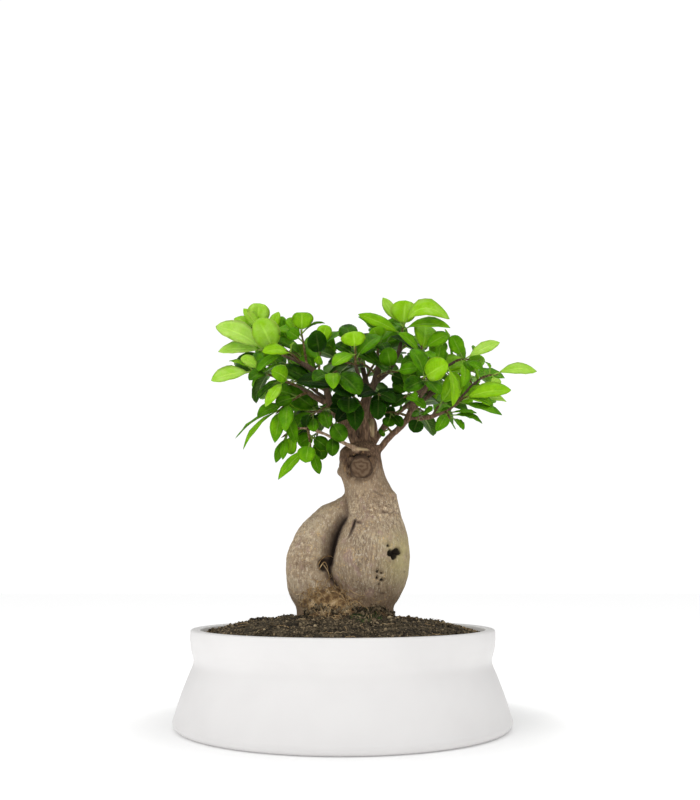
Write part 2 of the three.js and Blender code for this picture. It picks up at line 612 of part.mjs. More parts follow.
// The same for a tube of rings with so many corners each
function shapeOf(corners, sides) {
  const rings = corners.length / sides;
  const faces = [];
  for (let ring = 0; ring < rings - 1; ring += 1) {
    for (let side = 0; side < sides; side += 1) {
      const a = ring * sides + side;
      const b = ring * sides + (side + 1) % sides;
      faces.push([a, b, b + sides], [a, b + sides, a + sides]);
    }
  }
  const edges = [];
  for (let ring = 0; ring < rings; ring += 1) {
    for (let side = 0; side < sides; side += 1) {
      const a = ring * sides + side;
      edges.push([a, ring * sides + (side + 1) % sides]);
      if (ring < rings - 1) edges.push([a, a + sides]);
    }
  }
  return { corners, faces, edges, box: new THREE.Box3().setFromPoints(corners) };
}

function tubeShape(path, startRadius, endRadius) {
  const sides = 6;
  const chord = path[path.length - 1].clone().sub(path[0]);
  const reference = leastAxis(chord);
  const corners = [];
  path.forEach((point, step) => {
    const before = path[Math.max(step - 1, 0)];
    const after = path[Math.min(step + 1, path.length - 1)];
    const along = after.clone().sub(before).normalize();
    const side = along.clone().cross(reference).normalize();
    const other = side.clone().cross(along);
    const radius = startRadius + (endRadius - startRadius) * step / (path.length - 1);
    for (let k = 0; k < sides; k += 1) {
      const angle = (k / sides) * Math.PI * 2;
      const corner = point.clone().addScaledVector(side, radius * Math.cos(angle));
      corners.push(corner.addScaledVector(other, radius * Math.sin(angle)));
    }
  });
  return shapeOf(corners, sides);
}

function edgeMeetsFace(start, end, a, b, c) {
  const run = end.clone().sub(start);
  const first = b.clone().sub(a);
  const second = c.clone().sub(a);
  const cross = run.clone().cross(second);
  const scale = first.dot(cross);
  if (Math.abs(scale) < 1e-12) return false;
  const offset = start.clone().sub(a);
  const u = offset.dot(cross) / scale;
  if (u < 0 || u > 1) return false;
  const turned = offset.cross(first);
  const v = run.dot(turned) / scale;
  if (v < 0 || u + v > 1) return false;
  const along = second.dot(turned) / scale;
  return along >= 0 && along <= 1;
}

function edgesMeetFaces(one, other) {
  return one.edges.some(([i, j]) => other.faces.some(([a, b, c]) => edgeMeetsFace(
    one.corners[i], one.corners[j], other.corners[a], other.corners[b], other.corners[c],
  )));
}

function meets(one, other) {
  if (!one.box.intersectsBox(other.box)) return false;
  return edgesMeetFaces(one, other) || edgesMeetFaces(other, one);
}

// A leaf that would meet something is bent about its base, little by little, until it is clear
const BEND_STEPS = [0, 5, 10, 16, 23, 31, 40];
const BEND_TURNS = 6;
const SHORTER = [1, 0.84, 0.68];

function bentLeaf(leaf, shorter, bend, turn) {
  const { along, face, across, length } = leafAxes(leaf);
  const angle = THREE.MathUtils.degToRad(bend);
  const around = (turn / BEND_TURNS) * Math.PI * 2 + bend;
  const direction = along.clone().multiplyScalar(Math.cos(angle));
  direction.addScaledVector(across, Math.sin(angle) * Math.cos(around));
  direction.addScaledVector(face, Math.sin(angle) * Math.sin(around));
  const tip = leaf.base.clone().addScaledVector(direction, length * shorter);
  return { ...leaf, tip, width: leaf.width * shorter };
}

function isClear(leaf, obstacles) {
  const stations = leafStations(leaf);
  const whole = stripShape(stations, CLEARANCE / 2);
  const blade = stripShape(stations.slice(1), 0);
  return obstacles.every((obstacle) => {
    if (obstacle.stem === leaf.stem) return obstacle.twig || !meets(blade, obstacle.blade);
    return !meets(whole, obstacle.whole);
  });
}

function settledLeaf(leaf, obstacles) {
  for (const shorter of SHORTER) {
    for (const bend of BEND_STEPS) {
      for (let turn = 0; turn < (bend === 0 ? 1 : BEND_TURNS); turn += 1) {
        const candidate = bentLeaf(leaf, shorter, bend, turn);
        if (isClear(candidate, obstacles)) return candidate;
      }
    }
  }
  return null;
}

function chosenLeaves(stem) {
  return (stem.leaves ?? []).map(([along, tip, width, facing, arch]) => ({
    stem, base: stemPoint(stem, along), tip: seen(tip), width, arch,
    facing: new THREE.Vector3(...FACING[facing]),
  }));
}

function ranged([least, added], random) {
  return least + added * random();
}

// Growth rule: leaves turn round the stem by the golden angle and lean outward and up
function ruledLeaves(stem, random) {
  const leaves = [];
  const forward = stem.end.clone().sub(stem.start).normalize();
  const side = forward.clone().cross(leastAxis(forward)).normalize();
  const other = side.clone().cross(forward);
  for (let i = 0; i < stem.more; i += 1) {
    const along = RULED.lowest + (1 - RULED.lowest) * (i + random()) / stem.more;
    const turn = GOLDEN_ANGLE * (i + 1) + random() * RULED.wander + stem.number;
    const splay = THREE.MathUtils.degToRad(ranged(RULED.splay, random));
    const radial = side.clone().multiplyScalar(Math.cos(turn)).addScaledVector(other, Math.sin(turn));
    if (stem.leaves && radial.y < 0) radial.y *= -RULED.turnedBack;
    const direction = forward.clone().multiplyScalar(Math.cos(splay));
    direction.addScaledVector(radial, Math.sin(splay));
    direction.z += RULED.lift;
    direction.normalize();
    const length = ranged(RULED.length, random);
    const base = stemPoint(stem, along);
    const facing = base.clone().sub(CROWN_CENTRE).normalize().multiplyScalar(RULED.faceOut);
    facing.z += RULED.faceUp;
    if (base.y < MIDDLE_DEPTH) facing.y -= RULED.faceFront;
    leaves.push({
      stem, base, facing,
      tip: base.clone().addScaledVector(direction, length),
      width: length * ranged(RULED.widthToLength, random),
      arch: ranged(RULED.arch, random),
    });
  }
  return leaves;
}

function growFoliage() {
  const random = randomSource(20);
  const obstacles = Object.values(BRANCHES).map((branch) => ({
    whole: tubeShape(branch.path.map(seen), branch.radii[0] + CLEARANCE, branch.radii[1] + CLEARANCE),
  }));
  STEMS.forEach((stem, i) => {
    stem.number = i + 1;
    stem.start = branchPoint(stem.on, stem.at);
    stem.end = seen(stem.to);
    stem.path = [0, 0.5, 1].map((along) => stemPoint(stem, along));
    stem.grown = [];
    obstacles.push({
      stem, twig: true, whole: tubeShape(stem.path, TWIG_RADIUS + CLEARANCE, TWIG_TIP_RADIUS + CLEARANCE),
    });
  });
  const wanted = [...STEMS.flatMap(chosenLeaves), ...STEMS.flatMap((stem) => ruledLeaves(stem, random))];
  wanted.forEach((leaf) => {
    const settled = settledLeaf(leaf, obstacles);
    if (!settled) return;
    settled.stem.grown.push(settled);
    const stations = leafStations(settled);
    obstacles.push({
      stem: settled.stem,
      whole: stripShape(stations, CLEARANCE / 2),
      blade: stripShape(stations.slice(1), 0),
    });
  });
}

function buildLeafyStem(stem, branchClearance) {
  const twig = toSolid(tube(stem.path, TWIG_RADIUS, TWIG_TIP_RADIUS, TWIG_SIDES));
  const leaves = stem.grown.map((leaf) => toSolid(leafGeometry(leaf)));
  return largestBody(welded(union([twig, ...leaves]).subtract(branchClearance)));
}

// Scene graph

function material(color, roughness) {
  return new THREE.MeshStandardMaterial({ color, roughness, metalness: 0 });
}

function named(name, solid, look) {
  const mesh = new THREE.Mesh(toGeometry(solid), look);
  mesh.name = name;
  return mesh;
}

const bonsai = new THREE.Group();
bonsai.add(named('pot', buildBowl(), material(0xe9e8e8, 0.35)));
bonsai.add(named('soil', buildSoil(), material(0x3b2f26, 0.95)));
bonsai.add(named('trunk', buildTrunk(), material(0xa8987f, 0.85)));

growFoliage();
const clearanceTubes = Object.values(BRANCHES).map((branch) => toSolid(branchTube(branch, BRANCH_GAP)));
const branchClearance = union(clearanceTubes);
STEMS.forEach((stem) => {
  const number = String(stem.number).padStart(2, '0');
  bonsai.add(named(`leafy_stem_${number}`, buildLeafyStem(stem, branchClearance), material(0x6fa02a, 0.45)));
});

export default bonsai;
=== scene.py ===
# Ficus ginseng bonsai in a low white ceramic bowl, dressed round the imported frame.
# Metres, +Z up, the front toward -Y. Lengths in the settings are millimetres.
import math
import bpy
import numpy as np
from mathutils import Euler, Matrix, Vector


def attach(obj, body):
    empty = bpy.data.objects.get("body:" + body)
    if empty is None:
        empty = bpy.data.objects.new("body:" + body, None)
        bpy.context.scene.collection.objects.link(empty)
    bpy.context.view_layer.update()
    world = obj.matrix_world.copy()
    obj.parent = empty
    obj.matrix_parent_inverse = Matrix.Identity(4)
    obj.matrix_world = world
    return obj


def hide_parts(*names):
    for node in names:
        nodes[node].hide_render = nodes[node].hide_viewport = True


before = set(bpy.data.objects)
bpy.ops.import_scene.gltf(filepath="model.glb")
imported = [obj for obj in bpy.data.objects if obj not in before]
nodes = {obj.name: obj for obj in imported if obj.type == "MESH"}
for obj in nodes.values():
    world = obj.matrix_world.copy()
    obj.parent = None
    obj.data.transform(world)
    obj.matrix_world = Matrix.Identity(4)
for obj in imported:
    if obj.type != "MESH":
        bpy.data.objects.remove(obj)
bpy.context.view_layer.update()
mm = 0.001
print("frame loaded:", len(nodes), "nodes")


# Small helpers for working as by hand

def leaveEdit():
    if bpy.context.mode != "OBJECT":
        bpy.ops.object.mode_set(mode="OBJECT")


def dropSelection():
    leaveEdit()
    bpy.ops.object.select_all(action="DESELECT")


def takeUp(piece):  # only this piece selected, and active
    dropSelection()
    piece.select_set(True)
    bpy.context.view_layer.objects.active = piece


def editAll(piece):  # into edit mode with all of it selected
    takeUp(piece)
    bpy.ops.object.mode_set(mode="EDIT")
    bpy.ops.mesh.select_all(action="SELECT")


def pickPoints(piece, wanted):  # into edit mode with the points that pass the test selected
    editAll(piece)
    bpy.context.tool_settings.mesh_select_mode = (True, False, False)
    bpy.ops.mesh.select_all(action="DESELECT")
    leaveEdit()
    for point in piece.data.vertices:
        point.select = wanted(point.co)
    bpy.ops.object.mode_set(mode="EDIT")


def justAdded(name):  # what was just added, named
    piece = bpy.context.object
    piece.name = name
    if piece.data:
        piece.data.name = name
    return piece


def placed(name, data):  # a new piece round a mesh or curve
    piece = bpy.data.objects.new(name, data)
    bpy.context.scene.collection.objects.link(piece)
    return piece


def applyPlace():
    bpy.ops.object.transform_apply(location=True, rotation=True, scale=True)


def modify(piece, kind, **settings):  # adds a modifier and applies it
    takeUp(piece)
    modifier = piece.modifiers.new(kind.lower(), kind)
    for name, value in settings.items():
        setattr(modifier, name, value)
    bpy.ops.object.modifier_apply(modifier=modifier.name)


def push(piece, name, weights, most, **settings):  # moves the surface, by most mm where a weight is 1
    group = piece.vertex_groups.new(name=name)
    for i in np.nonzero(weights)[0]:
        group.add([int(i)], float(weights[i]), "REPLACE")
    modify(piece, "DISPLACE", strength=most * mm, mid_level=0, vertex_group=name, **settings)
    piece.vertex_groups.clear()


def keepValues(piece, name, values):  # one value a point, for a material to read
    piece.data.attributes.new(name, "FLOAT", "POINT").data.foreach_set("value", values.astype(np.float32))


def cloudTexture(name, size, depth):
    texture = bpy.data.textures.new(name, "CLOUDS")
    texture.noise_scale = size * mm
    texture.noise_depth = depth
    return texture


def cleanUp(piece, distance=0.02):  # merges doubles and turns the faces outward
    editAll(piece)
    bpy.ops.mesh.remove_doubles(threshold=distance * mm)
    bpy.ops.mesh.normals_make_consistent(inside=False)
    leaveEdit()


def smoothShade(piece, angle=None):
    takeUp(piece)
    if angle is None:
        bpy.ops.object.shade_smooth()
    else:
        bpy.ops.object.shade_smooth_by_angle(angle=math.radians(angle))


def joinAll(pieces, name):
    takeUp(pieces[0])
    for piece in pieces:
        piece.select_set(True)
    bpy.ops.object.join()
    return justAdded(name)


def finishPiece(piece, material, slot, *replaced):  # its material and body, and the node it stands for; the slot is not used
    piece.data.materials.clear()
    piece.data.materials.append(material)
    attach(piece, "root")
    if replaced:
        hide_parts(*replaced)
    dropSelection()
    return piece


def points(piece):  # all the points of a mesh as one array
    found = np.zeros(len(piece.data.vertices) * 3)
    piece.data.vertices.foreach_get("co", found)
    return found.reshape(-1, 3)


def extrudeThrough(rings):  # takes the selected face from ring to ring, each a radius and a height
    for (radius, height), (nextRadius, nextHeight) in zip(rings, rings[1:]):
        bpy.ops.mesh.extrude_region_move(TRANSFORM_OT_translate={"value": (0, 0, (nextHeight - height) * mm)})
        scale = nextRadius / radius
        bpy.ops.transform.resize(value=(scale, scale, 1), center_override=(0, 0, nextHeight * mm))


def curveThrough(path, steps):  # a smooth curve through the points, ends included
    path = [np.array(p, float) for p in path]
    made = []
    for i in range(len(path) - 1):
        before, start = path[max(i - 1, 0)], path[i]
        end, after = path[i + 1], path[min(i + 2, len(path) - 1)]
        leave, arrive = (end - before) / 2, (after - start) / 2
        for step in range(steps):
            t = step / steps
            made.append((2 * start - 2 * end + leave + arrive) * t ** 3
                        + (-3 * start + 3 * end - 2 * leave - arrive) * t ** 2 + leave * t + start)
    return made + [path[-1]]


def tubes(name, paths, sides=8):  # closed round tubes along paths of (point in metres, radius in mm)
    curve = bpy.data.curves.new(name, "CURVE")
    curve.dimensions = "3D"
    curve.bevel_depth = mm
    curve.bevel_resolution = sides // 2 - 2
    curve.use_fill_caps = True
    for path in paths:
        spline = curve.splines.new("POLY")
        spline.points.add(len(path) - 1)
        for knot, (place, radius) in zip(spline.points, path):
            knot.co = (*place, 1)
            knot.radius = radius
    takeUp(placed(name, curve))
    bpy.ops.object.convert(target="MESH")
    return justAdded(name)


# Nodes of the material in hand. A socket's value is a number, a colour or another node's output.

inHand = {}


def setSocket(socket, value):
    if isinstance(value, bpy.types.NodeSocket):
        inHand["tree"].links.new(value, socket)
    else:
        socket.default_value = (*value, 1) if socket.type == "RGBA" else value


def addNode(kind, sockets=None, **settings):
    node = inHand["tree"].nodes.new(kind)
    for name, value in settings.items():
        setattr(node, name, value)
    for socket, value in (sockets or {}).items():
        setSocket(node.inputs[socket], value)
    return node


def setShader(**values):  # the shader's own sockets, with _ for a space
    for socket, value in values.items():
        setSocket(inHand["tree"].nodes["Principled BSDF"].inputs[socket.replace("_", " ")], value)


def startMaterial(name, **values):
    material = bpy.data.materials.new(name)
    material.use_nodes = True
    inHand["material"], inHand["tree"] = material, material.node_tree
    setShader(**values)


def finishMaterial(colour, relief=()):  # relief is (height, depth in mm), the coarse layers first
    normal = {}
    for height, depth in relief:
        sockets = {"Height": height, "Distance": depth * mm, "Strength": 1.0, **normal}
        normal = {"Normal": addNode("ShaderNodeBump", sockets).outputs[0]}
    setShader(Base_Color=colour, **normal)
    return inHand["material"]


def objectPlace(scale=(1, 1, 1), turn=(0, 0, 0)):
    place = addNode("ShaderNodeTexCoord").outputs["Object"]
    return addNode("ShaderNodeMapping", {"Vector": place, "Scale": scale, "Rotation": turn}).outputs[0]


def lengthOf(vector):
    return addNode("ShaderNodeVectorMath", {0: vector}, operation="LENGTH").outputs["Value"]


def attributeOf(name):
    return addNode("ShaderNodeAttribute", attribute_name=name).outputs["Fac"]


def noise(place, size, detail=4, roughness=0.55, distortion=0):  # size in mm
    return addNode("ShaderNodeTexNoise", {
        "Vector": place, "Scale": 1000 / size, "Detail": detail, "Roughness": roughness,
        "Distortion": distortion}).outputs["Fac"]


def spread(value, low, high, toLow=0.0, toHigh=1.0):
    return addNode("ShaderNodeMapRange", {
        "Value": value, "From Min": low, "From Max": high, "To Min": toLow, "To Max": toHigh,
    }, interpolation_type="SMOOTHSTEP").outputs[0]


def ramp(factor, stops):
    node = addNode("ShaderNodeValToRGB", {"Fac": factor})
    while len(node.color_ramp.elements) < len(stops):
        node.color_ramp.elements.new(0.5)
    for element, (position, colour) in zip(node.color_ramp.elements, stops):
        element.position = position
        element.color = (*colour, 1)
    return node.outputs[0]


def mixed(factor, one, other, way="MIX"):
    return addNode("ShaderNodeMix", {"Factor": factor, 6: one, 7: other},
                   data_type="RGBA", blend_type=way).outputs[2]


def layered(tone, layers):  # lays colours over a tone, each as (where, colour)
    for where, colour in layers:
        tone = mixed(where, tone, colour)
    return tone


def reckon(way, first, *others):
    for other in others:
        first = addNode("ShaderNodeMath", {0: first, 1: other}, operation=way).outputs[0]
    return first


def times(*values):
    return reckon("MULTIPLY", *values)


def plus(*values):
    return reckon("ADD", *values)


def minus(*values):
    return reckon("SUBTRACT", *values)


def larger(*values):
    return reckon("MAXIMUM", *values)


# Camera and studio

camera = {"eye": (6.6, -823, 132), "pitch": 11.7, "lens": 38.25}
eye = np.array(camera["eye"], float)

studio = {
    "floorSize": 12000,
    "floorTints": ((0.90, 0.90, 0.90), (0.92, 0.92, 0.92)),
    "floorGlow": (158, 265, 0.10, 0.46),  # from here to there out from the pot, and how much at each
    "worldLight": 0.60,
    "worldGloss": 0.30,  # what shiny surfaces reflect of it
    "backdrop": 1.05,
    "lamps": {  # place, size, strength in watts
        "leftKey": ((-900, -1100, 1150), 900, 6.5),
        "topSoft": ((100, -150, 1500), 1300, 6),
        "rightFill": ((1200, -700, 600), 900, 1.0),
    },
    "aim": (0, 0, 200),
}


def setCamera():
    bpy.ops.object.camera_add(location=Vector(camera["eye"]) * mm,
                              rotation=(math.radians(90 + camera["pitch"]), 0, 0))
    made = justAdded("camera")
    made.data.lens = camera["lens"]
    made.data.clip_start = 0.01
    bpy.context.scene.camera = made


def makeFloor():
    bpy.ops.mesh.primitive_plane_add(size=studio["floorSize"] * mm)
    floor = justAdded("floor")
    startMaterial("floorPaper", Roughness=0.9, Emission_Color=(1, 1, 1))
    near, far, least, most = studio["floorGlow"]
    setShader(Emission_Strength=spread(lengthOf(objectPlace()), near * mm, far * mm, least, most))
    grain = spread(noise(objectPlace(), 40, 3), 0.3, 0.7)
    floor.data.materials.append(finishMaterial(mixed(grain, *studio["floorTints"])))


def setWorld():
    world = bpy.data.worlds.new("studio")
    bpy.context.scene.world = world
    world.use_nodes = True
    inHand["tree"] = world.node_tree
    inHand["tree"].nodes.remove(inHand["tree"].nodes["Background"])
    light, gloss, backdrop = [
        addNode("ShaderNodeBackground", {"Strength": studio[name], "Color": (1, 1, 1)}).outputs[0]
        for name in ("worldLight", "worldGloss", "backdrop")]
    seenBy = addNode("ShaderNodeLightPath").outputs
    lit = addNode("ShaderNodeMixShader", {0: seenBy["Is Glossy Ray"], 1: light, 2: gloss}).outputs[0]
    shown = addNode("ShaderNodeMixShader", {0: seenBy["Is Camera Ray"], 1: lit, 2: backdrop}).outputs[0]
    setSocket(inHand["tree"].nodes["World Output"].inputs[0], shown)
    bpy.context.scene.view_settings.view_transform = "Standard"
    bpy.context.scene.view_settings.look = "None"


def setLamps():
    for name, (place, size, strength) in studio["lamps"].items():
        place = Vector(place) * mm
        toward = Vector(studio["aim"]) * mm - place
        bpy.ops.object.light_add(type="AREA", location=place,
                                 rotation=toward.to_track_quat("-Z", "Y").to_euler())
        lamp = justAdded(name)
        lamp.data.size = size * mm
        lamp.data.energy = strength


setCamera()
makeFloor()
setWorld()
setLamps()
print("camera and studio set")


# Bowl: a disc whose face is extruded ring by ring up the outside, over the rim and down the inside

bowl = {
    "sides": 160,
    "foot": (153.5, 6),  # radius and rounding
    "flank": [(153.5, 6), (147.4, 27), (141.6, 43), (137, 56), (139.5, 67), (140.7, 76)],
    "flankSteps": 6,
    "footSteps": 6,
    "rimHeight": 84.5,
    "rimRounding": 1.8,
    "rimSteps": 4,
    "wall": 9,
    "floor": 9,
    "floorRounding": (5, 6),  # inward and up
    "paintedLightInside": (134.5, 132.5),  # painted light: the glaze is lighter within these radii, to lift the shade on the inner wall
}


def bowlRings():
    footRadius, rounding = bowl["foot"]
    rings = []
    for step in range(bowl["footSteps"] + 1):
        angle = step / bowl["footSteps"] * math.pi / 2
        rings.append((footRadius - rounding + rounding * math.sin(angle),
                      rounding - rounding * math.cos(angle)))
    flank = curveThrough(bowl["flank"], bowl["flankSteps"])
    rings += [tuple(ring) for ring in flank[1:]]
    rimRadius, rim, top = bowl["flank"][-1][0], bowl["rimRounding"], bowl["rimHeight"]
    inner = rimRadius - bowl["wall"]
    for centre, start in ((rimRadius - rim, 0), (inner + rim, 90)):
        for step in range(bowl["rimSteps"] + 1):
            angle = math.radians(start + step * 90 / bowl["rimSteps"])
            rings.append((centre + rim * math.cos(angle), top - rim + rim * math.sin(angle)))
    inward, up = bowl["floorRounding"]
    for radius, height in reversed(flank):
        if bowl["floor"] + up < height:
            rings.append((radius - bowl["wall"], height))
    return rings + [(rings[-1][0] - inward, bowl["floor"])]


def glazeMaterial():
    startMaterial("whiteGlaze", IOR=1.45, Coat_Weight=0.15, Coat_Roughness=0.45)
    place = objectPlace()
    low, high = bowl["paintedLightInside"]
    tint = mixed(spread(noise(place, 60, 3), 0.3, 0.7), (0.80, 0.785, 0.778), (0.83, 0.816, 0.808))
    tint = layered(tint, [
        (spread(noise(place, 1.4, 2), 0.72, 0.8, 0, 0.25), (0.6, 0.58, 0.56)),  # fine specks
        # painted light on the inner wall, which the peat shades
        (spread(lengthOf(objectPlace((1, 1, 0))), low * mm, high * mm), (0.95, 0.94, 0.93)),
    ])
    setShader(Roughness=spread(noise(place, 25, 4), 0.3, 0.7, 0.46, 0.56))
    return finishMaterial(tint, [(noise(objectPlace((1, 1, 2)), 55, 2), 0.12), (noise(place, 3, 3), 0.02)])


def makeBowl():
    rings = bowlRings()
    radius, height = rings[0]
    bpy.ops.mesh.primitive_circle_add(vertices=bowl["sides"], radius=radius * mm, fill_type="NGON",
                                      location=(0, 0, height * mm))
    piece = justAdded("ceramic_bowl")
    editAll(piece)
    extrudeThrough(rings)
    leaveEdit()
    applyPlace()
    cleanUp(piece)
    smoothShade(piece, 40)
    finishPiece(piece, glazeMaterial(), "pot_glaze", "pot")


makeBowl()
print("bowl made")


# Wood: places are given as seen, x and z in the trunk's plane and y along the line of sight

branches = {  # radii at both ends, and the places that each goes through
    "centre": ((7, 2.2), [(21, 0, 243), (20, 0, 273), (20, -2, 292), (24, -3, 307), (31, -2, 320),
                          (35, 2, 336), (34, 4, 350)]),
    "left": ((4.6, 1.8), [(16, -3, 245), (6, -6, 273), (-5, -8, 285), (-12, -8, 298), (-19, -6, 318),
                          (-28, -4, 331), (-42, -2, 340), (-58, -2, 347)]),
    "leftLow": ((2.8, 1.7), [(-11, -8, 295), (-30, -10, 307), (-45, -12, 316), (-60, -14, 322)]),
    "leftBack": ((2.6, 1.7), [(-19, -6, 318), (-34, 16, 334), (-50, 30, 346)]),
    "right": ((3.7, 1.6), [(30, -2, 246), (45, -4, 265), (54, -6, 273), (61, -7, 281), (66, -8, 291),
                           (71, -8, 307), (75, -6, 323), (76, -2, 338)]),
    "rightLow": ((2.4, 1.4), [(62, -7, 282), (76, -9, 284), (88, -10, 286), (101, -10, 291), (112, -8, 298)]),
    "rightFar": ((1.6, 1.3), [(110, -8, 297), (122, -4, 311), (136, 0, 324)]),
    "rightTop": ((2.1, 1.5), [(71, -8, 307), (86, -4, 320), (100, 0, 334), (112, 2, 342)]),
    "rightBack": ((2.3, 1.5), [(66, -8, 291), (84, 10, 306), (104, 22, 318), (122, 28, 328)]),
    "topRight": ((2.6, 1.7), [(31, -2, 320), (44, 2, 330), (54, 4, 348), (58, 4, 362)]),
    "frontTop": ((2.4, 1.7), [(24, -3, 307), (17, -20, 322), (12, -34, 338)]),
    "frontRight": ((2.1, 1.6), [(68, -8, 297), (78, -26, 308), (86, -38, 320)]),
    "back": ((4.3, 2), [(27, 8, 246), (27, 12, 277), (26, 15, 297), (24, 24, 315), (20, 34, 332),
                        (16, 42, 346)]),
    "backLeft": ((3.6, 1.8), [(23, 6, 258), (8, 22, 280), (-8, 38, 296), (-26, 50, 310), (-44, 58, 324)]),
    "backRight": ((3.6, 1.8), [(28, 9, 258), (44, 24, 280), (62, 38, 296), (82, 48, 308), (100, 54, 320)]),
    "lowTwig": ((2.3, 1.2), [(22, -12, 249), (8, -22, 256), (-7, -26, 263), (-22, -28, 270), (-34, -30, 274),
                             (-43, -30, 274)]),
}


def seen(place):  # from the place as seen to the real place, in mm
    inPlane = np.array([place[0], 0, place[2]], float)
    return (inPlane - eye) * (1 - place[1] / eye[1]) + eye


def branchPoint(name, at):
    path = [seen(place) for place in branches[name][1]]
    step = min(int(at * (len(path) - 1)), len(path) - 2)
    return path[step] + (path[step + 1] - path[step]) * (at * (len(path) - 1) - step)


wood = {
    "cutHeight": 261,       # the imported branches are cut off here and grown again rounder
    "coarse": 3.0,          # voxel sizes
    "fine": 1.05,
    "swell": 0.6,           # puts back what the smoothing takes off
    "branchSides": 12,
    "branchGrow": 0.1,
    "grain": [              # size, depth and vertical stretch of each layer of relief
        (26, 2.2, 1.0), (9, 1.1, 1.6), (3.6, 0.75, 3.5),
    ],
    "ragged": 0.08,         # how uneven the edges of dents and knobs are
    "dents": [              # place as seen (x, z), radius across and up, depth
        ((52, 154.5), (5, 3.6), 9), ((46, 153.5), (3.6, 3.0), 8), ((49.3, 150), (3.4, 3.2), 8),
        ((49.3, 153.4), (4.4, 3.4), 9), ((43.5, 160.7), (2.4, 2.4), 3.2), ((32.8, 136), (1.7, 1.7), 3),
        ((36.8, 134.5), (1.9, 1.4), 3), ((32.3, 130), (1.4, 2.1), 3), ((37, 128), (2.4, 1.6), 3.4),
        ((34, 124), (1.6, 1.4), 2.4), ((-17, 143), (7, 6.5), 5), ((13, 248), (9, 1.5), 3.6),
        ((25, 247.5), (6, 1.3), 3.0), ((5, 238), (2.5, 4), 2.2), ((7, 229), (2, 3), 1.4),
    ],
    "knobs": [              # the same for what stands out
        ((-3.2, 231), (3.5, 4.5), 2.6), ((48.5, 208), (3.5, 5.5), 3.0), ((51.5, 197.5), (3, 3), 2.2),
        ((44, 196), (5, 3), 1.4), ((58.5, 137), (1.6, 1.6), 1.8), ((12, 201), (5, 3.6), 1.6),
        ((48, 188), (4, 4), 1.2), ((-28, 168), (6, 4), 1.0), ((-33, 146), (4, 6), 0.8),
        ((36, 220), (6, 5), 1.0), ((18, 252.5), (9, 2.0), 1.3), ((-1, 240), (2, 4), 1.4),
        ((1, 251), (6, 9), 3.6), ((31, 240), (2.5, 7), 1.2), ((29, 274), (4, 9), 4.0),
    ],
    "grooves": {            # place as seen, depth, reach to the left and to the right
        "cleft": [
            ((3.5, 206), 2.5, 5, 1.6), ((4.2, 197), 3.5, 8, 1.6), ((4.3, 188.7), 4.5, 10, 1.6),
            ((0.4, 181.7), 7.5, 13, 1.6), ((-4.4, 171.2), 10, 17, 1.7), ((-7.3, 160.7), 11.5, 19, 1.8),
            ((-9.7, 150.2), 12, 17, 1.9), ((-11.5, 143.1), 10, 13, 2.0), ((-12.7, 137.3), 8, 10, 2.2),
            ((-11, 130.3), 5.5, 6, 2.4), ((-6.3, 123.3), 5, 5, 2.6), ((-0.4, 113.9), 4.5, 5, 2.8),
            ((4.3, 106), 3, 5, 3),
        ],
        "fork": [((11.5, 184), 2.6, 2.2, 2.2), ((9.5, 178), 2.4, 2, 2), ((6.5, 171), 1.8, 1.6, 1.6),
                 ((3, 166), 0.6, 1, 1)],
        "notch": [((13.5, 183), 2.2, 1.6, 1.6), ((17, 182), 1.8, 1.6, 1.6)],
        "wrinkles": [((30, 212.5), 1.0, 1.2, 1.2), ((38, 208), 1.4, 1.2, 1.2)],
        "crease": [((38, 192.5), 1.2, 1.1, 1.1), ((45, 191.5), 1.4, 1.2, 1.2), ((50, 193), 0.7, 1, 1)],
        "lowCrease": [((31, 117), 0.8, 1, 1), ((38, 115.5), 1.3, 1.2, 1.2)],
    },
    "grooveFront": 6,       # only what lies in front of this depth is carved
    "wideGroove": 4,        # one with more reach than this fades out softly to the left
    "scar": ((17.2, 233), 11.8, 11.0),  # middle as seen (x, z), radius across and up
    "scarFront": -13,
    "rim": (2.4, 3.0),      # how far the scar's lip stands out and its groove goes in
}


def sightThrough(x, z):  # from the camera's place through a point of the trunk's plane
    start = Vector(eye) * mm
    return start, (Vector((x, 0, z)) * mm - start).normalized()


def spotOn(piece, x, z):  # where that line first meets a piece, in metres, and which way it faces there
    hit, place, normal, _ = piece.ray_cast(*sightThrough(x, z))
    return (np.array(place), np.array(normal)) if hit else (np.array((x, 0, z)) * mm, np.array((0, -1, 0)))


def press(piece, name, outward):  # pushes the surface in or out round each mark
    marks = wood[name]
    piece.data.update()
    coordinates = points(piece)
    places = [spotOn(piece, *mark[0])[0] for mark in marks]
    weights = np.zeros(len(coordinates))
    for place, (_, (across, up), depth) in zip(places, marks):
        away = (coordinates - place) / (np.array((across, max(across, up) * 1.3, up)) * mm)
        around = np.arctan2(away[:, 2], away[:, 0])
        ragged = 1 + wood["ragged"] * np.sin(3 * around + across * 5)
        reach = np.clip(1.25 - np.linalg.norm(away, axis=1) * ragged, 0, 1) ** 0.8
        weights = np.maximum(weights, reach * depth)
    most = max(mark[2] for mark in marks)
    push(piece, name, np.where(weights > 0.01, weights / most, 0), outward * most)
    # over the dents this paints shade into the hollows; over the knobs it only marks where the pale cut wood
    # goes
    keepValues(piece, name + "Shade", np.clip(weights / 3, 0, 1))


def asSeen(places):  # where points in mm appear in the trunk's plane, seen from the camera's place
    away = places - eye
    return (eye + away * (-eye[1] / away[:, 1])[:, None])[:, [0, 2]]


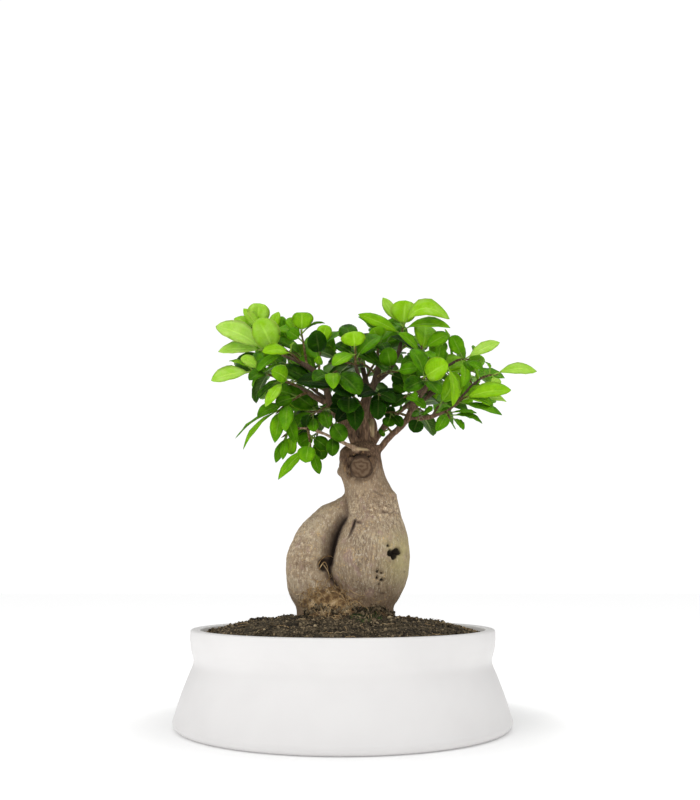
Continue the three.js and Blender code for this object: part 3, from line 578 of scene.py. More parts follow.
def carveGrooves(piece):  # each may be sharp on its right side and fade out to the left
    coordinates = points(piece) / mm
    flat = asSeen(coordinates)
    depth, shade = np.zeros(len(flat)), np.zeros(len(flat))
    knots = [[(*place, *rest) for place, *rest in groove] for groove in wood["grooves"].values()]
    paths = [curveThrough(groove, 4) for groove in knots]
    for start, end in [pair for path in paths for pair in zip(path, path[1:])]:
        run = end[:2] - start[:2]
        share = np.clip(((flat - start[:2]) @ run) / (run @ run), 0, 1)
        knot = start + (end - start) * share[:, None]
        away = flat - knot[:, :2]
        left = away[:, 0] < 0
        wide = knot[:, 3] > wood["wideGroove"]
        reach = np.linalg.norm(away, axis=1) / np.where(left, knot[:, 3], knot[:, 4])
        fall = np.clip(1 - reach, 0, 1) ** np.where(left, 1.9, 0.8)
        depth = np.maximum(depth, fall * knot[:, 2])
        fade = np.clip(1 - reach * np.where(left & wide, 1.25, np.where(wide, 1.2, 0.7)), 0, 1)
        shade = np.maximum(shade, fade * np.clip(knot[:, 2] / np.where(wide, 6, 2.4), 0.3, 1))
    front = coordinates[:, 1] < wood["grooveFront"]
    most = depth.max()
    push(piece, "cleft", np.where(front & (depth > 0.02), depth / most, 0), most, direction="Y")
    keepValues(piece, "cleftShade", shade * front)


def ridge(value, middle, width):  # 1 at the middle, falling to nothing on both sides
    return np.exp(-((value - middle) / width) ** 2)


def cutScar(piece):  # the round cut on the front of the neck with its rim, and the stain round it
    (x, z), across, up = wood["scar"]
    coordinates = points(piece) / mm
    right, above = coordinates[:, 0] - x, coordinates[:, 2] - z
    turn = np.arctan2(above, right)
    reach = np.hypot(right / across, above / up)
    reach = reach * (1 + 0.06 * np.sin(2 * turn + 1) + 0.05 * np.sin(3 * turn + 0.4))
    front = coordinates[:, 1] < wood["scarFront"]
    keepValues(piece, "scarWood", np.clip((1.02 - reach) / 0.12, 0, 1) * front)
    stain = 1.9 - np.hypot((right + 4) / across, (above - 3) / up)
    keepValues(piece, "scarStain", np.clip(stain, 0, 1) * front)
    knots = np.array(curveThrough([seen(place) for place in branches["lowTwig"][1]], 6))
    away = np.linalg.norm(coordinates[:, None] - knots[None, 4:], axis=2).min(1)
    keepValues(piece, "paleTwig", np.clip((4.2 - away) / 1.2, 0, 1))
    groove = ridge(reach, 0.55, 0.12) * 0.2 + ridge(reach, 1.08, 0.08)
    relief = 0.5 * ridge(reach, 0.85, 0.10) - 0.5 * groove - 0.35 * ridge(reach, 0, 0.25)
    relief = np.clip(relief, -0.5, 0.5) * (front & (reach < 1.4))
    lip, hollow = wood["rim"]
    push(piece, "scarRim", np.maximum(relief, 0), lip)
    push(piece, "scarHollow", np.maximum(-relief, 0), -hollow)


def reliefOn(piece, name, size, depth, stretch):  # bark relief, stretched up the stem by an empty's scale
    bpy.ops.object.empty_add()
    stretched = justAdded(name + "Frame")
    stretched.scale = (1, 1, stretch)
    bpy.context.view_layer.update()
    modify(piece, "DISPLACE", strength=depth * mm, mid_level=0.5, texture=cloudTexture(name, size, 3),
           texture_coords="OBJECT", texture_coords_object=stretched)
    bpy.data.objects.remove(stretched)


def scarColour(place):  # grey-brown end grain in rings, darker at the rim
    (x, z), across, up = wood["scar"]
    centred = addNode("ShaderNodeMapping", {
        "Vector": addNode("ShaderNodeTexCoord").outputs["Object"],
        "Location": (-x * mm / across * 9, 0, -z * mm / up * 9), "Scale": (9 / across, 0, 9 / up)}).outputs[0]
    rings = addNode("ShaderNodeTexWave", {
        "Vector": centred, "Scale": 80.0, "Distortion": 11.0, "Detail": 3.0, "Detail Scale": 1.6,
    }, wave_type="RINGS", rings_direction="SPHERICAL").outputs["Fac"]
    endGrain = ramp(rings, [(0.0, (0.100, 0.058, 0.031)), (0.5, (0.135, 0.083, 0.047)),
                            (1.0, (0.18, 0.118, 0.070))])
    outward = plus(lengthOf(centred), times(noise(place, 9, 3), 0.003))
    return mixed(spread(outward, 0.0076, 0.0102, 0, 0.85), endGrain, (0.036, 0.019, 0.010))


def barkMaterial():
    startMaterial("paleBark", Roughness=0.85, Specular_IOR_Level=0.3)
    place = objectPlace()
    upright = objectPlace((1, 1, 0.22))
    side, _, height = addNode("ShaderNodeSeparateXYZ", {0: place}).outputs
    streak = noise(upright, 1.7, 5, 0.65)
    streaky = times(spread(side, -0.012, 0.004, 0.45, 1), spread(noise(place, 22, 2), 0.35, 0.62, 0.45, 1))
    fleck = noise(objectPlace((1, 1, 0.45)), 1.5, 3, 0.7)
    crack = noise(objectPlace((1, 1, 0.12)), 2.6, 4, 0.7, 0.4)
    gold = noise(place, 9, 4)
    goldFleck = times(spread(noise(place, 2.2, 3, 0.7), 0.53, 0.64), spread(gold, 0.46, 0.62), 0.75)
    pink = spread(noise(objectPlace(turn=(1, 0, 0)), 12, 2), 0.58, 0.68)

    # loose skin flakes off below the neck and on the left lobe
    shoulder = times(spread(height, 0.180, 0.190), spread(height, 0.216, 0.206), spread(side, 0.0, 0.012))
    lobe = times(spread(side, -0.020, -0.032, 0, 0.8), spread(height, 0.118, 0.13))
    flaky = times(larger(shoulder, lobe), spread(noise(place, 10, 2), 0.38, 0.55, 0.2, 1))
    scab = noise(place, 2.9, 4, 0.75)

    # yellower and mossier low on the right, brown and dirty at the foot, brown in the neck and branches
    yellow = times(spread(side, 0.022, 0.06), spread(height, 0.105, 0.15), spread(height, 0.15, 0.185, 1, 0),
                   spread(noise(place, 16, 3), 0.36, 0.58, 0.25, 0.75))
    ragged = plus(height, times(gold, 0.03))
    brown = ramp(streak, [(0.35, (0.050, 0.026, 0.015)), (0.5, (0.14, 0.076, 0.043)),
                          (0.65, (0.29, 0.175, 0.10))])
    # darker high up among the leaves: painted shade of the crown on the branches
    brown = mixed(spread(height, 0.280, 0.325, 0, 0.8), brown, (0.030, 0.018, 0.010))
    stain = times(attributeOf("scarStain"), spread(noise(place, 7, 4, 0.6), 0.36, 0.54, 0.25, 1), 0.95)
    rust = ramp(noise(upright, 3, 4, 0.7), [(0.38, (0.024, 0.012, 0.007)), (0.54, (0.085, 0.043, 0.022)),
                                            (0.66, (0.50, 0.31, 0.13))])
    beige = mixed(spread(streak, 0.4, 0.6), (0.30, 0.19, 0.115), (0.56, 0.41, 0.27))
    # the knobs' value marks the pale cut wood here, not shade
    cutWood = times(attributeOf("knobsShade"), spread(height, 0.247, 0.251), spread(side, 0.005, 0.009),
                    spread(side, 0.032, 0.027))
    cleft = attributeOf("cleftShade")

    tone = ramp(noise(place, 30, 3), [(0.30, (0.30, 0.207, 0.126)), (0.46, (0.43, 0.325, 0.212)),
                                      (0.60, (0.51, 0.403, 0.270)), (0.75, (0.57, 0.466, 0.315))])
    tone = layered(tone, [
        (times(spread(streak, 0.40, 0.58, 0.85, 0), streaky), (0.19, 0.135, 0.088)),
        (spread(noise(place, 5, 4, 0.65), 0.42, 0.56, 0.5, 0), (0.27, 0.185, 0.12)),  # mottled
        (spread(fleck, 0.54, 0.66, 0, 0.7), (0.72, 0.63, 0.49)),
        (spread(crack, 0.60, 0.70, 0, 0.7), (0.085, 0.06, 0.042)),
        (goldFleck, (0.68, 0.47, 0.23)),
        (times(pink, 0.35), (0.42, 0.27, 0.25)),
        (times(flaky, spread(scab, 0.53, 0.62, 0, 0.8)), (0.15, 0.095, 0.06)),  # dark under the skin
        (times(flaky, spread(scab, 0.46, 0.38, 0, 0.8)), (0.78, 0.62, 0.42)),  # pale on it
        (yellow, (0.50, 0.44, 0.20)),
        (spread(ragged, 0.205, 0.235, 0, 0.4), (0.31, 0.215, 0.13)),
        (spread(ragged, 0.108, 0.145, 0.85, 0), (0.16, 0.095, 0.05)),  # dirty foot
        (times(spread(ragged, 0.232, 0.262), 0.9), brown),
        (stain, rust),
        (times(attributeOf("paleTwig"), 0.9), beige),
        (spread(cutWood, 0.05, 0.3, 0, 0.9), (0.60, 0.45, 0.26)),
        (spread(attributeOf("dentsShade"), 0.35, 1, 0, 0.95), (0.009, 0.006, 0.004)),
        (spread(cleft, 0.0, 0.75, 0, 0.75), (0.105, 0.07, 0.052)),
        (spread(cleft, 0.62, 0.95, 0, 0.9), (0.022, 0.014, 0.010)),
        (attributeOf("scarWood"), scarColour(place)),
    ])
    return finishMaterial(tone, [(noise(upright, 3.4, 5, 0.65), 0.8), (streak, 0.45), (fleck, 0.3)])


def makeWood():
    piece = placed("trunk_wood", nodes["trunk"].data.copy())
    cleanUp(piece, 0.01)
    editAll(piece)
    bpy.ops.mesh.bisect(plane_co=(0, 0, wood["cutHeight"] * mm), plane_no=(0, 0, 1), use_fill=True,
                        clear_outer=True)
    leaveEdit()
    modify(piece, "REMESH", mode="VOXEL", voxel_size=wood["coarse"] * mm)
    modify(piece, "SMOOTH", factor=0.5, iterations=16)
    modify(piece, "DISPLACE", strength=wood["swell"] * mm, mid_level=0)
    modify(piece, "SUBSURF", levels=1, render_levels=1)

    paths = []
    for (start, end), path in branches.values():
        knots = curveThrough([seen(place) for place in path], 4)
        radii = np.linspace(start, end, len(knots)) + wood["branchGrow"]
        paths.append([(knot * mm, radius) for knot, radius in zip(knots, radii)])
    piece = joinAll([piece, tubes("branchTubes", paths, wood["branchSides"])], "trunk_wood")
    modify(piece, "REMESH", mode="VOXEL", voxel_size=wood["fine"] * mm)
    modify(piece, "SMOOTH", factor=0.5, iterations=3)
    press(piece, "knobs", 1)
    press(piece, "dents", -1)
    carveGrooves(piece)
    cutScar(piece)
    for i, (size, depth, stretch) in enumerate(wood["grain"]):
        reliefOn(piece, "barkRelief" + str(i), size, depth, stretch)
    smoothShade(piece)
    return finishPiece(piece, barkMaterial(), "bark", "trunk")


trunkWood = makeWood()
print("wood made:", len(trunkWood.data.polygons), "faces")


# Peat: a ring drawn inward step by step into a low mound, heaped up at the trunk and here and there

peat = {
    "edge": 131.3, "edgeHeight": 79, "rise": 15.3, "wallBelow": 14,
    "sides": 300, "rings": 84,
    "clearOfTrunk": ((3, -1), (41, 24)),  # middle and reach of the trunk's foot
    "heap": (5.0, 8, 14),  # before the trunk: how far up, how far out, and from how far in front
    "hummocks": [  # place, reach, rise
        ((-55, 22), 11, 2.4), ((-81, 16), 10, 2.6), ((-98, 8), 7, 1.6), ((66, 24), 12, 1.2),
        ((88, 14), 10, 1.4), ((-35, -62), 12, 2.4), ((48, -58), 13, 2.2), ((8, -80), 11, 1.8),
        ((98, -30), 12, 2), ((20, 70), 14, 2),
    ],
    "crumbs": {"large": (220, 2, (1.0, 2.6)), "small": (3600, 1, (0.5, 1.5))},  # count, roundness, radii
    "palest": (0.985, 0.9),  # all but this share are dark, the rest have this tone
    "banked": (620, (0.6, 2.3), (-37, 48), 98.5),  # clods before the foot: count, radii, from and to, height
}


def moundHeight(radius):  # flat in the middle and steeper toward the edge
    return peat["edgeHeight"] + peat["rise"] * (1 - (radius / peat["edge"]) ** 3)


def peatMaterial():
    startMaterial("darkPeat", Roughness=0.95, Specular_IOR_Level=0.25)
    place = objectPlace()
    grain = noise(place, 2.2, 5, 0.7)
    patch = noise(place, 14, 3)
    lightness = plus(times(grain, 0.7), times(patch, 0.3), times(attributeOf("crumbTone"), 0.55))
    colour = ramp(lightness, [(0.41, (0.006, 0.004, 0.002)), (0.50, (0.042, 0.031, 0.017)),
                              (0.59, (0.16, 0.122, 0.072)), (0.74, (0.33, 0.25, 0.15)),
                              (1.0, (0.46, 0.36, 0.22))])
    return finishMaterial(colour, [(noise(place, 3.4, 5, 0.7), 1.2), (grain, 0.7)])


def besideTrunk(x, y):  # 1 on an oval round the trunk's foot, and less within
    (centreX, centreY), (reachX, reachY) = peat["clearOfTrunk"]
    return np.hypot((x - centreX) / reachX, (y - centreY) / reachY)


def makePeat(material):
    edge, level = peat["edge"], peat["edgeHeight"]
    bottom = level - peat["wallBelow"]
    bpy.ops.mesh.primitive_circle_add(vertices=peat["sides"], radius=edge * mm, location=(0, 0, bottom * mm))
    piece = justAdded("peat_soil")
    editAll(piece)
    bpy.ops.mesh.edge_face_add()
    radii = [edge * ring / peat["rings"] for ring in range(peat["rings"], 0, -1)]
    extrudeThrough([(edge, bottom)] + [(radius, moundHeight(radius)) for radius in radii])
    bpy.ops.mesh.poke()
    leaveEdit()
    applyPlace()
    cleanUp(piece)

    x, y, z = points(piece).T / mm
    rise, spreadOut, inFront = peat["heap"]
    out = (besideTrunk(x, y) - 1) * peat["clearOfTrunk"][1][1]
    heaped = np.exp(-np.maximum(out, 0) / spreadOut) * np.clip(-y / inFront, 0, 1)
    push(piece, "heap", heaped * (z > level + 2), rise, direction="Z")
    x, y, z = points(piece).T / mm
    lift = np.zeros(len(x))
    for (middleX, middleY), size, climb in peat["hummocks"]:
        away = np.hypot(x - middleX, y - middleY) / size
        lift = np.maximum(lift, climb * np.clip(1.3 - away, 0, 1))
    most = 4
    push(piece, "hummocks", np.where((lift > 0.01) & (z > level + 1), lift / most, 0), most, direction="Z")
    smoothShade(piece)
    return finishPiece(piece, material, "peat", "soil")


def crumbTemplate(roundness, name):
    bpy.ops.mesh.primitive_ico_sphere_add(subdivisions=roundness, radius=mm)
    piece = justAdded(name)
    modify(piece, "DISPLACE", strength=0.9 * mm, mid_level=0.5, texture_coords="LOCAL",
           texture=cloudTexture(name + "Shape", 1.3, 1))
    return piece


def layCopies(template, name, laid):  # one mesh of copies of a template, each by its own (matrix, tone)
    shape = points(template)
    faces = np.array([list(face.vertices) for face in template.data.polygons])
    corners = [shape @ np.array(matrix.to_3x3()).T + np.array(matrix.translation) for matrix, _ in laid]
    rows = [faces + i * len(shape) for i in range(len(laid))]
    mesh = bpy.data.meshes.new(name)
    mesh.from_pydata(np.concatenate(corners).tolist(), [], np.concatenate(rows).tolist())
    piece = placed(name, mesh)
    keepValues(piece, "crumbTone", np.repeat([tone for _, tone in laid], len(shape)))
    bpy.data.objects.remove(template)
    return piece


def fallOn(piece, x, y):  # where a piece's top is at a place, all in metres
    hit, place, _, _ = piece.ray_cast(Vector((x, y, 0.16)), Vector((0, 0, -1)))
    return place if hit else None


def turned(draw):
    return Euler(draw.random(3) * math.tau).to_matrix().to_4x4()


def makeCrumbs(ground, material):
    draw = np.random.default_rng(5)
    darkShare, palest = peat["palest"]
    heaps = []
    for kind, (count, roundness, (least, most)) in peat["crumbs"].items():
        laid = []
        while len(laid) < count:
            radius = peat["edge"] * 0.985 * math.sqrt(draw.random())
            angle = draw.random() * math.tau
            x, y = radius * math.cos(angle), radius * math.sin(angle)
            size = least + (most - least) * draw.random() ** 2.5
            turn = turned(draw)
            flat = Matrix.Diagonal((size, size * draw.uniform(0.7, 1), size * draw.uniform(0.5, 0.9), 1))
            tone = 0.5 * draw.random() ** 2 if draw.random() < darkShare else palest
            if besideTrunk(x, y) < 1:
                continue
            place = fallOn(ground, x * mm, y * mm) + Vector((0, 0, size * 0.25 * mm))
            laid.append((Matrix.Translation(place) @ turn @ flat, tone))
        heaps.append(layCopies(crumbTemplate(roundness, kind + "Crumb"), kind + "_crumbs", laid))
    count, (least, most), fromTo, height = peat["banked"]
    laid = []
    for _ in range(count):
        x = draw.uniform(*fromTo)
        z = height + abs(draw.normal()) * (3.2 if x < 22 else 2.0) + 2.5 * math.sin(x * 0.24)
        place, normal = spotOn(trunkWood, x, z)
        size = least + (most - least) * draw.random() ** 1.8
        turn = turned(draw)
        place = Vector(place + normal * size * 0.2 * mm)
        if place.y < 0:
            flat = Matrix.Diagonal((size, size * 0.8, size * 0.7, 1))
            laid.append((Matrix.Translation(place) @ turn @ flat, 0.45 * draw.random() ** 2))
    heaps.append(layCopies(crumbTemplate(1, "bankedCrumb"), "banked_crumbs", laid))
    piece = joinAll(heaps, "peat_crumbs")
    smoothShade(piece, 50)
    finishPiece(piece, material, "peat")


darkPeat = peatMaterial()
ground = makePeat(darkPeat)
makeCrumbs(ground, darkPeat)
print("peat laid")


# Root hairs and moss at the foot

foot = {
    "hairs": [  # count, middle as seen (x, z), spread, length, radius
        (330, (-19, 110), (18, 11), (8, 20), 0.36),
        (110, (3, 107), (11, 7), (7, 15), 0.34),
        (22, (32, 101), (16, 3), (5, 11), 0.28),
    ],
    "hairSteps": 8,
    "longestLeap": 8,  # a hair that would jump further than this is left out
    "curls": [  # single pale roots, each a line of places as seen
        [(-24, 142), (-21, 147), (-17, 150), (-12, 150.5), (-9.5, 149)],
        [(-20, 144), (-16, 139), (-13.5, 134), (-13, 128)],
        [(-23, 138), (-18, 145), (-15, 141), (-14.5, 136)], [(-11, 121), (-6, 115), (0, 106), (2, 97)],
        [(-12, 118), (-4, 116), (3, 109), (9, 101)], [(6, 104), (11, 109), (17, 106), (19, 102)],
        [(-30, 112), (-24, 117), (-18, 113), (-12, 104)], [(-8, 108), (-12, 101), (-14, 94)],
    ],
    "curlRadius": 0.55,
    "curlLift": 2.6,  # how far a curl stands off the wood in its middle
    "strands": (60, 0.26, 7, 1.9),  # fibres lying on the peat: count, radius, steps and stride
    "moss": [  # middle as seen (x, z), spread, tufts
        ((24, 98), (9, 4.5), 420), ((12, 96), (6, 3), 130), ((34, 93), (3, 1.5), 60), ((20, 91), (7, 2), 120),
    ],
}


def firstSeen(x, z):  # what shows at (x, z), on the wood or the peat, and how it faces; None if neither does
    start, toward = sightThrough(x, z)
    hits = [piece.ray_cast(start, toward) for piece in (trunkWood, ground)]
    spots = [(place, normal) for hit, place, normal, _ in hits if hit]
    if not spots:
        return None
    place, normal = min(spots, key=lambda spot: (spot[0] - start).length)
    return np.array(place), np.array(normal)


def stepToward(heading, stride):
    return stride * np.array([math.cos(heading), math.sin(heading)])


def hairPath(draw, hair):  # wanders over what shows, lifted a little in its middle
    _, middle, (reachX, reachZ), lengths, radius = hair
    steps = foot["hairSteps"]
    at = np.array([middle[0] + draw.normal() * reachX * 0.55, middle[1] + draw.normal() * reachZ * 0.6])
    heading = draw.uniform(-2.6, -0.5)
    stride = draw.uniform(*lengths) / steps
    path = []
    for step in range(steps):
        spot = firstSeen(*at)
        if spot is None:
            break
        place, normal = spot
        lift = (0.2 + 1.3 * math.sin(step / (steps - 1) * math.pi) * draw.random()) * mm
        path.append((place + normal * lift, radius * (1 - 0.6 * step / steps)))
        heading += draw.normal() * 0.55
        at = at + stepToward(heading, stride)
    leaps = [np.linalg.norm(b[0] - a[0]) for a, b in zip(path, path[1:])]
    return path if len(path) > 3 and max(leaps) < foot["longestLeap"] * mm else None


def curlPath(line):
    near, far = [firstSeen(*end)[0][1] / mm for end in (line[0], line[-1])]
    route = curveThrough(line, 5)
    path = []
    for share, (x, z) in zip(np.linspace(0, 1, len(route)), route):
        depth = near + (far - near) * share - foot["curlLift"] * math.sin(share * math.pi)
        path.append((seen((x, depth, z)) * mm, foot["curlRadius"] * (1 - 0.5 * share)))
    return path


def strandPath(draw):
    _, radius, steps, stride = foot["strands"]
    angle = draw.random() * math.tau
    reach = 30 + 95 * draw.random()
    at = np.array([reach * math.cos(angle), reach * math.sin(angle) * 0.95])
    heading = draw.random() * math.tau
    path = []
    for step in range(steps):
        place = fallOn(ground, *(at * mm))
        if place is None:
            break
        path.append((np.array(place) + (0, 0, (0.3 + draw.random()) * mm), radius * (1 - step / 10)))
        heading += draw.normal() * 0.5
        at = at + stepToward(heading, stride)
    return path if len(path) > 3 else None


def hairMaterial():
    startMaterial("rootHair", Roughness=0.8, Specular_IOR_Level=0.3)
    grain = noise(objectPlace(), 6, 4, 0.6)
    colour = ramp(grain, [(0.38, (0.19, 0.11, 0.05)), (0.5, (0.45, 0.29, 0.13)), (0.64, (0.74, 0.57, 0.34))])
    return finishMaterial(colour, [(grain, 0.15)])


def makeHairs():
    draw = np.random.default_rng(11)
    paths = [hairPath(draw, hair) for hair in foot["hairs"] for _ in range(hair[0])]
    paths += [curlPath(line) for line in foot["curls"]]
    paths += [strandPath(draw) for _ in range(foot["strands"][0])]
    piece = tubes("root_hairs", [path for path in paths if path], 4)
    smoothShade(piece)
    finishPiece(piece, hairMaterial(), "bark")


def mossMaterial():
    startMaterial("moss", Roughness=0.7)
    grain = noise(objectPlace(), 3, 2)
    tone = plus(times(attributeOf("crumbTone"), 0.6), times(grain, 0.4))
    colour = ramp(tone, [(0.2, (0.010, 0.020, 0.006)), (0.6, (0.030, 0.058, 0.012)),
                         (0.95, (0.16, 0.26, 0.03))])
    return finishMaterial(colour, [(grain, 0.1)])


def makeMoss():
    draw = np.random.default_rng(3)
    bpy.ops.mesh.primitive_cone_add(vertices=4, radius1=0.34 * mm, radius2=0.05 * mm, depth=2.2 * mm,
                                    location=(0, 0, 0.8 * mm))
    tuft = justAdded("mossTuft")
    applyPlace()
    laid = []
    for (x, z), (reachX, reachZ), count in foot["moss"]:
        for _ in range(count):
            spot = firstSeen(x + draw.normal() * reachX * 0.5, z + draw.normal() * reachZ * 0.5)
            if spot is None:
                continue
            place, normal = spot
            lean = Vector(normal) + Vector((0, 0, 0.7)) + Vector(draw.normal(size=3)) * 0.5
            turn = lean.to_track_quat("Z", "Y").to_matrix().to_4x4()
            size = Matrix.Scale(draw.uniform(0.5, 1.1), 4)
            laid.append((Matrix.Translation(Vector(place)) @ turn @ size, float(draw.random())))
    finishPiece(layCopies(tuft, "moss_tufts", laid), mossMaterial(), "leaf")


makeHairs()
makeMoss()
print("root hairs and moss laid")


# A chosen leaf's tone is its own green with painted light and shade: brighter where lit, darker deep in the
# crown.
# Foliage. Each stem grows from a branch to a place as seen; its chosen leaves are
# (how far along, tip as seen, width, facing, arch, tone), and "more" leaves follow the growth rule.
# This is the growth of the imported stems, so that every fine leaf lies where its plain one is.

facings = {
    "front": (0, -1, 0.1), "tilt": (0, -1, 0.55), "up": (0, -0.8, 1), "left": (-0.7, -0.8, 0.4),
    "right": (0.7, -0.8, 0.4), "edgeLeft": (-0.9, 0, 0.7),
}

